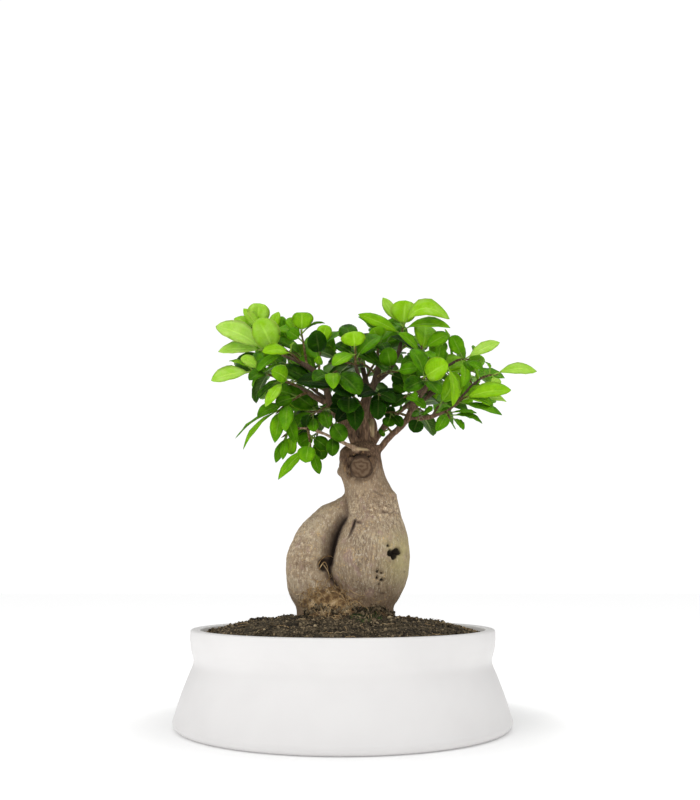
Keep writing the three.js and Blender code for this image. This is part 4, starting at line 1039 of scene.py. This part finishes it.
leafyStems = [  # branch, how far along it, end as seen, more leaves, chosen leaves
    ("left", 1, (-80, -6, 353), 1, [
        (1, (-129, -14, 380), 27, "tilt", 0.1, 0.93), (0.5, (-86, -28, 386), 28, "front", 0.06, 0.82),
        (0.95, (-126, -12, 353), 17, "tilt", 0.06, 0.94)]),
    ("left", 0.86, (-54, -16, 351), 1, [
        (0.7, (-81, -34, 353), 17, "tilt", 0.1, 0.70), (0.9, (-50, -20, 362), 8, "edgeLeft", 0.08, 0.85)]),
    ("leftBack", 1, (-88, 26, 374), 2, [
        (1, (-85, 20, 403), 24, "front", 0.05, 0.85), (0.95, (-111, 24, 388), 12, "tilt", 0.1, 0.75),
        (0.8, (-103, 20, 396), 12, "front", 0.06, 0.80), (0.6, (-66, 14, 394), 13, "tilt", 0.08, 0.82)]),
    ("left", 0.8, (-42, 0, 370), 1, [
        (0.95, (-42, 2, 394), 22, "front", 0.04, 0.64), (1, (-21, 2, 387), 8, "edgeLeft", 0.12, 0.45),
        (0.7, (-56, -2, 374), 15, "front", 0.08, 0.46), (0.85, (-57, 4, 388), 12, "front", 0.05, 0.56)]),
    ("left", 0.66, (-23, -4, 358), 2, [
        (0.9, (-17, -4, 380), 16, "front", 0.03, 0.72), (0.6, (-28, -30, 374), 20, "front", 0.06, 0.22),
        (0.3, (-24, -24, 347), 9, "front", 0.12, 0.60), (0.1, (-12, -18, 336), 14, "tilt", 0.1, 0.42)]),
    ("leftLow", 1, (-90, -18, 331), 2, [
        (1, (-132, -22, 323), 20, "tilt", 0.06, 0.86), (0.5, (-94, -36, 324), 14, "tilt", 0.12, 0.34),
        (0.95, (-115, -10, 343), 8, "up", 0.12, 0.60), (0.75, (-102, -20, 348), 13, "tilt", 0.08, 0.85)]),
    ("leftLow", 0.7, (-62, -32, 322), 1, [
        (0.6, (-71, -46, 333), 17, "front", 0.16, 0.60), (1, (-87, -32, 300), 10, "left", 0.12, 0.28),
        (0.9, (-75, -36, 302), 12, "left", 0.1, 0.30), (0.8, (-77, -52, 296), 12, "tilt", 0.06, 0.80)]),
    ("leftLow", 0.45, (-63, -26, 292), 1, [
        (1, (-108, -30, 265), 8, "edgeLeft", 0.08, 0.50), (0.95, (-99, -38, 253), 9, "left", 0.1, 0.58),
        (0.8, (-85, -42, 287), 14, "tilt", 0.08, 0.40), (0.9, (-67, -46, 260), 14, "front", 0.08, 0.52),
        (0.7, (-57, -52, 271), 15, "front", 0.06, 0.50), (0.4, (-67, -30, 299), 13, "front", 0.06, 0.36),
        (0.85, (-46, -38, 258), 12, "front", 0.05, 0.44)]),
    ("lowTwig", 1, (-56, -33, 268), 0, [
        (0.95, (-66, -36, 240), 9, "front", 0.05, 0.45), (0.9, (-59, -42, 243), 8, "front", 0.06, 0.50),
        (0.6, (-57, -46, 256), 12, "tilt", 0.14, 0.56)]),
    ("lowTwig", 0.82, (-32, -34, 256), 0, [
        (0.95, (-64, -40, 224), 11, "tilt", 0.06, 0.62), (0.8, (-37, -46, 240), 17, "front", 0.05, 0.52),
        (1, (-23, -38, 229), 10, "front", 0.04, 0.42), (0.4, (-14, -26, 256), 14, "front", 0.06, 0.30),
        (0.6, (-29, -30, 264), 11, "front", 0.06, 0.40)]),
    ("lowTwig", 0.42, (-13, -32, 282), 1, [
        (1, (1, -40, 262), 17, "front", 0.06, 0.34), (0.3, (-9, -34, 246), 13, "front", 0.06, 0.32)]),
    ("lowTwig", 0.64, (-26, -8, 266), 0, [
        (0.9, (-20, -14, 243), 15, "front", 0.06, 0.36), (0.6, (-44, -18, 258), 15, "front", 0.08, 0.45)]),
    ("left", 0.4, (-30, -28, 288), 2, [
        (0.9, (-37, -34, 276), 13, "left", 0.2, 0.20), (0.6, (-20, -36, 296), 11, "tilt", 0.12, 0.30),
        (1, (-32, -38, 272), 11, "front", 0.1, 0.36), (0.5, (-14, -38, 270), 14, "front", 0.06, 0.38)]),
    ("left", 0.57, (-8, -36, 331), 1, [
        (1, (17, -52, 309), 22, "tilt", 0.08, 0.34), (0.8, (-10, -58, 315), 15, "front", 0.12, 0.60),
        (0.7, (-30, -46, 322), 15, "tilt", 0.1, 0.30)]),
    ("centre", 0.36, (6, -26, 308), 0, [
        (1, (5, -40, 290), 21, "front", 0.06, 0.20), (0.7, (12, -40, 273), 17, "front", 0.06, 0.18),
        (0.4, (-12, -14, 304), 16, "front", 0.06, 0.14), (0.1, (36, -14, 272), 12, "front", 0.05, 0.08)]),
    ("centre", 0.52, (35, -26, 308), 1, [
        (1, (34, -36, 283), 16, "front", 0.05, 0.16), (0.7, (52, -34, 300), 14, "tilt", 0.1, 0.20)]),
    ("frontTop", 1, (12, -38, 351), 2, [
        (1, (10, -42, 373), 24, "front", 0.03, 0.74), (0.8, (-11, -62, 339), 15, "tilt", 0.08, 0.60),
        (0.6, (-8, -30, 360), 14, "tilt", 0.08, 0.30)]),
    ("centre", 1, (36, -2, 362), 2, [
        (0.9, (30, -16, 376), 22, "front", 0.06, 0.55), (0.6, (20, -26, 350), 15, "tilt", 0.1, 0.30),
        (0.8, (44, -24, 352), 14, "tilt", 0.1, 0.28)]),
    ("topRight", 1, (60, 2, 378), 1, [
        (1, (39, 8, 409), 12, "left", 0.05, 0.88), (0.8, (63, -6, 406), 27, "front", 0.03, 0.80),
        (0.4, (15, -14, 392), 15, "left", 0.06, 0.62), (0.9, (109, -10, 387), 25, "tilt", 0.42, 0.80),
        (0.7, (108, -18, 377), 15, "tilt", 0.14, 0.62)]),
    ("right", 1, (78, -10, 354), 2, [
        (0.6, (56, -26, 372), 14, "tilt", 0.08, 0.55), (0.95, (106, -8, 371), 15, "front", 0.1, 0.55),
        (0.8, (92, -34, 343), 10, "tilt", 0.08, 0.50)]),
    ("rightTop", 1, (121, 0, 344), 1, [
        (0.8, (109, -8, 369), 16, "front", 0.06, 0.52), (1, (157, -4, 363), 15, "tilt", 0.04, 0.90),
        (0.6, (119, -24, 316), 14, "right", 0.1, 0.60), (0.9, (128, -10, 331), 11, "tilt", 0.12, 0.45)]),
    ("rightTop", 0.6, (103, -24, 338), 1, [
        (0.9, (108, -46, 296), 14, "right", 0.1, 0.66), (0.7, (84, -34, 344), 14, "tilt", 0.1, 0.50)]),
    ("centre", 0.72, (51, -28, 331), 1, [
        (1, (76, -48, 336), 13, "front", 0.06, 0.42), (0.8, (44, -36, 356), 18, "front", 0.06, 0.42),
        (0.6, (40, -46, 333), 15, "tilt", 0.08, 0.24), (0.6, (60, -20, 322), 16, "front", 0.05, 0.20)]),
    ("frontRight", 1, (78, -46, 324), 1, [
        (0.9, (104, -66, 340), 22, "front", 0.08, 0.76), (0.5, (60, -58, 312), 16, "front", 0.12, 0.30),
        (0.7, (96, -60, 308), 14, "tilt", 0.1, 0.40)]),
    ("rightFar", 1, (149, 2, 328), 0, [
        (1, (194, 0, 333), 16, "tilt", 0.13, 0.86), (0.9, (153, -12, 315), 10, "front", 0.06, 0.82),
        (0.7, (141, 6, 342), 7, "right", 0.2, 0.60), (0.5, (124, -14, 337), 12, "tilt", 0.1, 0.50)]),
    ("rightLow", 1, (119, -12, 304), 1, [
        (0.8, (167, -18, 314), 20, "tilt", 0.07, 0.72), (0.3, (160, -18, 289), 15, "up", 0.02, 0.46),
        (1, (141, -2, 318), 9, "up", 0.08, 0.60), (0.7, (163, 6, 302), 13, "tilt", 0.1, 0.86)]),
    ("rightLow", 0.74, (104, -20, 286), 0, [
        (0.9, (138, -22, 280), 12, "up", 0.1, 0.45), (1, (119, -26, 273), 9, "up", 0.1, 0.40),
        (0.5, (132, -24, 290), 9, "up", 0.05, 0.42), (0.6, (92, -38, 272), 12, "front", 0.08, 0.50)]),
    ("rightLow", 0.3, (75, -24, 286), 0, [
        (1, (69, -32, 270), 15, "front", 0.06, 0.14), (0.7, (88, -36, 292), 13, "tilt", 0.08, 0.45)]),
    ("right", 0.72, (62, -24, 306), 2, [
        (0.9, (72, -40, 303), 12, "front", 0.06, 0.50), (0.6, (48, -30, 296), 13, "tilt", 0.1, 0.22),
        (0.8, (84, -30, 298), 10, "tilt", 0.06, 0.50), (0.4, (50, -20, 322), 17, "front", 0.05, 0.30)]),
    ("right", 0.5, (46, -12, 290), 0, [
        (0.9, (43, -14, 276), 13, "front", 0.06, 0.30), (0.6, (58, -18, 294), 10, "tilt", 0.08, 0.30),
        (1, (58, -20, 276), 10, "front", 0.06, 0.26)]),
    ("right", 0.2, (44, -10, 274), 0, [
        (0.8, (36, -12, 268), 9, "front", 0.06, 0.30), (1, (56, -14, 297), 11, "tilt", 0.08, 0.24)]),
    ("left", 0.52, (-38, 14, 318), 5, None),
    ("left", 0.3, (-36, 14, 290), 5, None),
    ("right", 0.85, (96, 12, 328), 5, None),
    ("rightLow", 0.5, (98, 14, 300), 4, None),
    ("centre", 0.75, (14, 16, 342), 4, None),
    ("backLeft", 1, (-76, 66, 338), 5, None),
    ("backLeft", 0.9, (-52, 84, 320), 5, None),
    ("backLeft", 0.75, (-30, 62, 346), 5, None),
    ("backLeft", 0.5, (-24, 66, 290), 5, None),
    ("backRight", 1, (128, 62, 332), 5, None),
    ("backRight", 0.9, (100, 84, 310), 5, None),
    ("backRight", 0.75, (86, 56, 346), 5, None),
    ("backRight", 0.5, (80, 66, 290), 4, None),
    ("back", 1, (12, 54, 345), 5, None),
    ("back", 0.85, (-12, 66, 340), 5, None),
    ("back", 0.7, (42, 60, 352), 5, None),
    ("back", 0.55, (22, 76, 326), 5, None),
    ("leftBack", 0.6, (-70, 44, 336), 5, None),
    ("leftBack", 0.3, (-50, 36, 352), 4, None),
    ("rightBack", 1, (128, 34, 318), 4, None),
    ("rightBack", 0.7, (108, 40, 338), 4, None),
    ("topRight", 0.5, (66, 28, 362), 4, None),
]

leafRule = {
    "seed": 20, "thickness": 0.7, "petiole": 6, "petioleWidth": 1.2, "swellAt": 1.1,
    "stations": (0.3, 0.68, 1),  # along the plain blade
    "twig": (1.4, 0.9), "bow": 0.06, "clearance": 0.5, "golden": 2.399963,
    "middle": (25, 15, 290), "middleDepth": 40,
    "bends": (0, 5, 10, 16, 23, 31, 40), "turns": 6, "shorter": (1, 0.84, 0.68),
    "firstAt": 0.3,
    # least, and what a draw adds
    "splay": (44, 26), "length": (31, 13), "slim": (0.5, 0.14), "arch": (0.05, 0.08),
}


def seededDraw(state):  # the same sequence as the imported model's
    while True:
        state = state * 16807 % 2147483647
        yield state / 2147483647


def unit(v):
    return v / np.linalg.norm(v)


def leastAxis(direction):
    x, y, z = np.abs(direction)
    if y <= x and y <= z:
        return np.array((0, 1, 0))
    return np.array((1, 0, 0)) if x <= z else np.array((0, 0, 1))


def stemPoint(stem, at):
    run = stem["end"] - stem["start"]
    bow = leafRule["bow"] * np.linalg.norm(run) * 4 * at * (1 - at)
    return stem["start"] + run * at + np.array((0, 0, bow))


def leafAxes(leaf):  # along it, square out of its face, across it, and its length
    along = leaf["tip"] - leaf["base"]
    length = np.linalg.norm(along)
    along = along / length
    face = unit(leaf["facing"] - along * (leaf["facing"] @ along))
    return along, face, np.cross(along, face), length


def halfWidth(leaf, length, station):  # broad leaves are blunt, narrow ones pointed
    fullness = np.clip(1.05 - 0.7 * leaf["width"] / (length - leafRule["petiole"]), 0.45, 0.95)
    swell = np.maximum(np.sin(np.pi * station ** leafRule["swellAt"]), 0) ** fullness
    return np.maximum(leaf["width"] / 2 * swell, leafRule["petioleWidth"] / 2 * (1 - station))


def midline(leaf, stop):  # middle of the blade and the way its face points, over a shallow arch
    along, face, _, length = leafAxes(leaf)
    stop = np.asarray(stop, float)[..., None]
    centre = leaf["base"] + along * length * stop + face * leaf["arch"] * length * 4 * stop * (1 - stop)
    normal = face - along * leaf["arch"] * 4 * (1 - 2 * stop)
    return centre, normal / np.linalg.norm(normal, axis=-1, keepdims=True)


def plainStations(leaf):
    _, _, across, length = leafAxes(leaf)
    petiole = leafRule["petiole"] / length
    stations = np.array(leafRule["stations"])
    centre, normal = midline(leaf, np.concatenate([[0], petiole + (1 - petiole) * stations]))
    half = [leafRule["petioleWidth"] / 2, *halfWidth(leaf, length, stations[:-1]), 0]
    return centre, normal, across, np.array(half)


def shapeOf(corners, sides):  # edges and triangles of a tube of rings
    rings = len(corners) // sides
    faces, edges = [], []
    for ring in range(rings):
        for side in range(sides):
            a, b = ring * sides + side, ring * sides + (side + 1) % sides
            edges.append((a, b))
            if ring < rings - 1:
                edges.append((a, a + sides))
                faces += [(a, b, b + sides), (a, b + sides, a + sides)]
    return {"edges": corners[edges], "faces": corners[faces], "low": corners.min(0), "high": corners.max(0)}


def stripShape(stations, grow, first=0):
    centre, normal, across, half = stations
    side = across * (half[first:, None] + grow)
    lift = normal[first:] * (leafRule["thickness"] / 2 + grow)
    middle = centre[first:]
    rows = [middle + side + lift, middle - side + lift, middle - side - lift, middle + side - lift]
    return shapeOf(np.stack(rows, 1).reshape(-1, 3), 4)


def tubeShape(path, startRadius, endRadius, sides=6):
    reference = leastAxis(path[-1] - path[0])
    corners = []
    for step, point in enumerate(path):
        along = unit(path[min(step + 1, len(path) - 1)] - path[max(step - 1, 0)])
        side = unit(np.cross(along, reference))
        other = np.cross(side, along)
        radius = startRadius + (endRadius - startRadius) * step / (len(path) - 1)
        for k in range(sides):
            angle = k / sides * math.tau
            corners.append(point + side * radius * math.cos(angle) + other * radius * math.sin(angle))
    return shapeOf(np.array(corners), sides)


def crossing(edges, faces):  # whether any edge passes through any triangle
    run = (edges[:, 1] - edges[:, 0])[:, None]
    first, second = faces[:, 1] - faces[:, 0], faces[:, 2] - faces[:, 0]
    offset = edges[:, 0][:, None] - faces[:, 0]
    cross = np.cross(run, second[None])
    turned = np.cross(offset, first[None])
    scale = (first * cross).sum(-1)
    scale = np.where(np.abs(scale) < 1e-12, np.nan, scale)
    u = (offset * cross).sum(-1) / scale
    v = (run * turned).sum(-1) / scale
    along = (second * turned).sum(-1) / scale
    return bool(((u >= 0) & (u <= 1) & (v >= 0) & (u + v <= 1) & (along >= 0) & (along <= 1)).any())


def meets(one, others):
    near = [o for o in others if (one["low"] <= o["high"]).all() and (one["high"] >= o["low"]).all()]
    if not near:
        return False
    faces = np.concatenate([o["faces"] for o in near])
    edges = np.concatenate([o["edges"] for o in near])
    return crossing(one["edges"], faces) or crossing(edges, one["faces"])


def bentLeaf(leaf, shorter, bend, turn):
    along, face, across, length = leafAxes(leaf)
    angle = math.radians(bend)
    around = turn / leafRule["turns"] * math.tau + bend
    direction = (along * math.cos(angle) + across * math.sin(angle) * math.cos(around)
                 + face * math.sin(angle) * math.sin(around))
    return {**leaf, "tip": leaf["base"] + direction * length * shorter, "width": leaf["width"] * shorter}


def settledLeaf(leaf, obstacles):  # bent little by little about its base until it is clear of the rest
    own = [o["blade"] for o in obstacles if o["stem"] == leaf["stem"] and "blade" in o]
    others = [o["whole"] for o in obstacles if o["stem"] != leaf["stem"]]
    for shorter in leafRule["shorter"]:
        for bend in leafRule["bends"]:
            for turn in range(leafRule["turns"] if bend else 1):
                bent = bentLeaf(leaf, shorter, bend, turn)
                stations = plainStations(bent)
                whole, bare = stripShape(stations, leafRule["clearance"] / 2), stripShape(stations, 0, 1)
                if not meets(whole, others) and not meets(bare, own):
                    obstacles.append({"stem": leaf["stem"], "whole": whole, "blade": bare})
                    return [bent]
    return []


def ruledLeaves(stem, draw):  # leaves turn round the stem by the golden angle and lean outward and up
    def drawn(name):
        least, added = leafRule[name]
        return least + added * next(draw)

    forward = unit(stem["end"] - stem["start"])
    side = unit(np.cross(forward, leastAxis(forward)))
    other = np.cross(side, forward)
    for i in range(stem["more"]):
        at = leafRule["firstAt"] + (1 - leafRule["firstAt"]) * (i + next(draw)) / stem["more"]
        turn = leafRule["golden"] * (i + 1) + next(draw) * 0.8 + stem["number"]
        splay = math.radians(drawn("splay"))
        radial = side * math.cos(turn) + other * math.sin(turn)
        if stem["chosen"] is not None and radial[1] < 0:  # the front is left to the chosen leaves
            radial[1] *= -0.7
        direction = unit(forward * math.cos(splay) + radial * math.sin(splay) + np.array((0, 0, 0.2)))
        length = drawn("length")
        base = stemPoint(stem, at)
        facing = unit(base - np.array(leafRule["middle"])) * 0.8 + np.array((0, 0, 0.45))
        if base[1] < leafRule["middleDepth"]:
            facing[1] -= 0.6
        yield {"stem": stem["number"], "base": base, "facing": facing, "tip": base + direction * length,
               "width": length * drawn("slim"), "arch": drawn("arch"), "tone": None}


def growFoliage():
    clearance = leafRule["clearance"]
    thick, thin = leafRule["twig"]
    obstacles = []
    for (start, end), path in branches.values():
        shape = tubeShape([seen(place) for place in path], start + clearance, end + clearance)
        obstacles.append({"stem": 0, "whole": shape})
    stems, wanted = [], []
    for number, (branch, at, end, more, chosen) in enumerate(leafyStems, 1):
        stem = {"number": number, "start": branchPoint(branch, at), "end": seen(end), "more": more,
                "chosen": chosen, "grown": []}
        stems.append(stem)
        path = [stemPoint(stem, share) for share in (0, 0.5, 1)]
        obstacles.append({"stem": number, "whole": tubeShape(path, thick + clearance, thin + clearance)})
        for share, tip, width, facing, arch, tone in chosen or []:
            wanted.append({"stem": number, "base": stemPoint(stem, share), "tip": seen(tip), "width": width,
                           "facing": np.array(facings[facing], float), "arch": arch, "tone": tone})
    draw = seededDraw(leafRule["seed"])
    for stem in stems:
        wanted += ruledLeaves(stem, draw)
    for leaf in wanted:
        stems[leaf["stem"] - 1]["grown"] += settledLeaf(leaf, obstacles)
    return stems


# One leaf is modelled by hand on a unit strip, and each copy is laid along its own arch

blade = {
    "columns": 4, "rows": 10,
    "fold": (0.15, 0.38), "foldMost": 2.4, "droop": (0.0, 0.10), "droopMost": 2.2,
    "wave": 0.55, "waves": (2, 4), "lopsided": 0.10, "leastHalf": 0.12,
    "stalkRadius": 0.75, "stalkAt": 5,  # the stalk is modelled this far above the strip, to be told from it
    "ribDown": 0.18, "ribBelow": 0.4, "ribWidth": 0.1,
    "budSteps": ((1.2, 1.0), (3.2, 0.75), (6.0, 0.12)),  # how far past the stem's end, and radius
    # a leaf's tone rises with its youth and with painted light, and falls with painted shade inside the crown
    "youthAndLight": {"least": 0.02, "height": 0.15, "outside": 0.26, "sunny": 0.16, "chance": (-0.05, 0.16)},
}


def makeLeafTemplate():
    bpy.ops.mesh.primitive_grid_add(x_subdivisions=blade["columns"], y_subdivisions=blade["rows"], size=2)
    piece = justAdded("leafTemplate")
    editAll(piece)
    bpy.ops.transform.translate(value=(0, 0, -1))
    bpy.ops.mesh.extrude_region_move(TRANSFORM_OT_translate={"value": (0, 0, 2)})
    pickPoints(piece, lambda co: abs(co.x) > 0.99 or abs(co.y) > 0.99)
    bpy.ops.transform.resize(value=(1, 1, 0), center_override=(0, 0, 0))
    bpy.ops.mesh.remove_doubles(threshold=0.001)
    leaveEdit()
    bpy.ops.mesh.primitive_cylinder_add(vertices=6, radius=1, depth=1, location=(0, 0, blade["stalkAt"]))
    stalk = justAdded("stalkTemplate")
    applyPlace()
    editAll(stalk)
    for cut in (-0.25, 0, 0.25):
        bpy.ops.mesh.bisect(plane_co=(0, 0, blade["stalkAt"] + cut), plane_no=(0, 0, 1))
        bpy.ops.mesh.select_all(action="SELECT")
    leaveEdit()
    return joinAll([piece, stalk], "leafTemplate")


def bladePoints(template, leaf, draw):  # the template's points laid along one grown leaf, and their values
    _, _, across, length = leafAxes(leaf)
    petiole = leafRule["petiole"] / length
    fold = draw.uniform(*blade["fold"])
    droop = draw.uniform(*blade["droop"]) * length
    phase, waves = draw.random() * math.tau, draw.uniform(*blade["waves"])
    x, y, z = template.T
    stalk = z > 2
    station = np.where(stalk, 0, np.clip((y + 1) / 2, 0, 1))
    station = 0.45 * station + 0.55 * (0.5 - 0.5 * np.cos(math.pi * station))  # closer rows at both ends
    middle = np.sin(math.pi * station)
    lopsided = 1 + draw.uniform(-blade["lopsided"], blade["lopsided"]) * np.sign(x) * middle
    onStalk = (z - blade["stalkAt"] + 0.5) * petiole * 1.25
    centre, normal = midline(leaf, np.where(stalk, onStalk, petiole + (1 - petiole) * station))
    half = np.maximum(halfWidth(leaf, length, station), blade["leastHalf"])
    reach = np.abs(x)
    rib = reach < blade["ribWidth"]
    lift = leafRule["thickness"] / 2 * z - blade["ribDown"] * (z > 0) * rib
    lift = lift - blade["ribBelow"] * (z < 0) * rib * (1 - station)
    lift = lift + np.minimum(fold * half * reach, blade["foldMost"])
    lift = lift - np.minimum(droop * station ** 3, blade["droopMost"])
    wave = np.sin(station * waves * math.tau + phase + np.sign(x))
    lift = lift + blade["wave"] * wave * reach ** 2 * middle
    side = np.where(stalk, x * blade["stalkRadius"], x * half * lopsided)
    lift = np.where(stalk, y * blade["stalkRadius"], lift)
    place = centre + across * side[:, None] + normal * lift[:, None]
    face = np.where(stalk, 0.5, np.where(z > 0.5, 1, np.where(z < -0.5, 0, 0.5)))
    return place * mm, np.stack([(x + 1) / 2, station], 1), face, stalk.astype(float)


def youngAndLitTone(tip, draw):  # outer and upper leaves are younger and brighter, with painted light on the upper, outer and right-hand leaves and painted shade inside the crown
    youthAndLight = blade["youthAndLight"]
    height = np.clip((tip[2] - 290) / 110, 0, 1)
    outside = np.clip((np.linalg.norm(tip - np.array(leafRule["middle"])) - 50) / 60, 0, 1)
    sunny = np.clip((tip[0] - 50) / 60, 0, 1)
    return (youthAndLight["least"] + youthAndLight["height"] * height + youthAndLight["outside"] * outside + youthAndLight["sunny"] * sunny
            + draw.uniform(*youthAndLight["chance"]))


def keepLooks(mesh, looks):  # tone, seed, which face and how woody, for the leaf material
    looks = np.asarray(looks, np.float32)
    mesh.attributes.new("leafLook", "FLOAT_COLOR", "POINT").data.foreach_set("color", looks.ravel())


def makeLeafMesh(template, stem, draw, name):  # all the leaves of one stem, each with its own tone
    shape = points(template)
    faces = [list(face.vertices) for face in template.data.polygons]
    places, rows, looks, flats = [], [], [], []
    for i, leaf in enumerate(stem["grown"]):
        place, flat, face, stalk = bladePoints(shape, leaf, draw)
        tone = youngAndLitTone(leaf["tip"], draw) if leaf["tone"] is None else leaf["tone"]
        places.append(place)
        rows += [[corner + i * len(shape) for corner in face] for face in faces]
        own = np.tile((tone, draw.random()), (len(shape), 1))
        looks.append(np.column_stack([own, face, stalk]))
        flats.append(flat)
    mesh = bpy.data.meshes.new(name)
    mesh.from_pydata(np.concatenate(places).tolist(), [], rows)
    keepLooks(mesh, np.concatenate(looks))
    corners = np.zeros(len(mesh.loops), np.int32)
    mesh.loops.foreach_get("vertex_index", corners)
    flat = np.concatenate(flats).astype(np.float32)[corners]
    mesh.uv_layers.new(name="UVMap").data.foreach_set("uv", flat.ravel())
    return placed(name, mesh)


def makeTwig(stem, name):  # the stem itself, thickened at its nodes, ending in a pointed bud
    start, end = leafRule["twig"]
    steps = 14
    path = []
    for step in range(steps + 1):
        at = step / steps
        path.append((stemPoint(stem, at) * mm, start + (end - start) * at + 0.16 * (step % 3 == 1)))
    tip = stemPoint(stem, 1)
    onward = unit(tip - stemPoint(stem, 0.95))
    path += [((tip + onward * ahead) * mm, radius) for ahead, radius in blade["budSteps"]]
    piece = tubes(name, [path])
    keepLooks(piece.data, [(0.4, stem["number"] / 60, 0.5, 0.6)] * len(piece.data.vertices))
    return piece


def leafMaterial():
    startMaterial("ficusLeaf", Roughness=0.42, Specular_IOR_Level=0.13, Specular_Tint=(0.5, 0.9, 0.25),
                  Subsurface_Weight=0.3, Subsurface_Radius=(0.6, 1.0, 0.2), Subsurface_Scale=1.2 * mm)
    look = addNode("ShaderNodeAttribute", attribute_name="leafLook").outputs
    tone, seed, face = addNode("ShaderNodeSeparateColor", {"Color": look["Color"]}).outputs
    stalk = look["Alpha"]
    flat = addNode("ShaderNodeUVMap", uv_map="UVMap").outputs[0]
    across, along, _ = addNode("ShaderNodeSeparateXYZ", {"Vector": flat}).outputs
    fromRib = times(reckon("ABSOLUTE", minus(across, 0.5), 0), 2)
    place = objectPlace()
    cloud = noise(place, 9, 3)
    fine = noise(place, 0.9, 3, 0.6)

    shade = plus(tone, times(minus(cloud, 0.5), 0.34), times(minus(seed, 0.5), 0.06))
    colour = ramp(shade, [(0.0, (0.002, 0.012, 0.001)), (0.25, (0.011, 0.050, 0.001)),
                          (0.5, (0.100, 0.300, 0.002)), (0.75, (0.28, 0.57, 0.008)),
                          (1.0, (0.50, 0.74, 0.14))])
    lighter = mixed(spread(shade, 0.1, 0.75, 0.22, 0.9), colour, (0.13, 0.16, 0.04), "ADD")

    # side veins slant forward from the rib, and the margin is pale too
    slanted = plus(minus(times(along, 9.0), times(fromRib, 2.1)), seed, times(cloud, 0.7))
    vein = times(spread(reckon("PINGPONG", slanted, 0.5), 0.12, 0.0), spread(fromRib, 1.0, 0.2))
    rib = times(spread(fromRib, 0.13, 0.03), spread(along, 1.1, 0.5))
    lines = larger(times(rib, 0.9), times(vein, 0.3), times(spread(fromRib, 0.9, 0.99), 0.45))
    upper = mixed(lines, colour, lighter)
    upper = mixed(spread(fine, 0.35, 0.7, 0.0, 0.16), upper, (0.5, 0.5, 0.5), "MULTIPLY")
    under = mixed(lines, mixed(0.28, colour, (0.14, 0.27, 0.04)), (0.24, 0.37, 0.10))
    body = mixed(spread(face, 0.2, 0.5), under, upper)

    bark = ramp(noise(place, 2.4, 4, 0.65), [(0.35, (0.05, 0.028, 0.012)), (0.52, (0.13, 0.085, 0.035)),
                                             (0.7, (0.26, 0.20, 0.10))])
    woody = mixed(spread(stalk, 0.75, 0.62), mixed(0.5, colour, (0.30, 0.38, 0.10)), bark)
    raised = minus(0.0, larger(rib, times(vein, 0.45)))
    return finishMaterial(mixed(spread(stalk, 0.2, 0.5), body, woody),
                          [(noise(place, 3.2, 2), 0.5), (raised, 0.35), (fine, 0.07)])


def makeFoliage():
    draw = np.random.default_rng(41)
    material = leafMaterial()
    stems = growFoliage()
    template = makeLeafTemplate()
    for stem in stems:
        number = "%02d" % stem["number"]
        leaves = makeLeafMesh(template, stem, draw, "leaves" + number)
        piece = joinAll([makeTwig(stem, "twig" + number), leaves], "leafy_sprig_" + number)
        editAll(piece)
        bpy.ops.mesh.normals_make_consistent(inside=False)
        leaveEdit()
        smoothShade(piece)
        finishPiece(piece, material, "leaf", "leafy_stem_" + number)
    bpy.data.objects.remove(template)
    print("foliage grown:", sum(len(stem["grown"]) for stem in stems), "leaves")


makeFoliage()
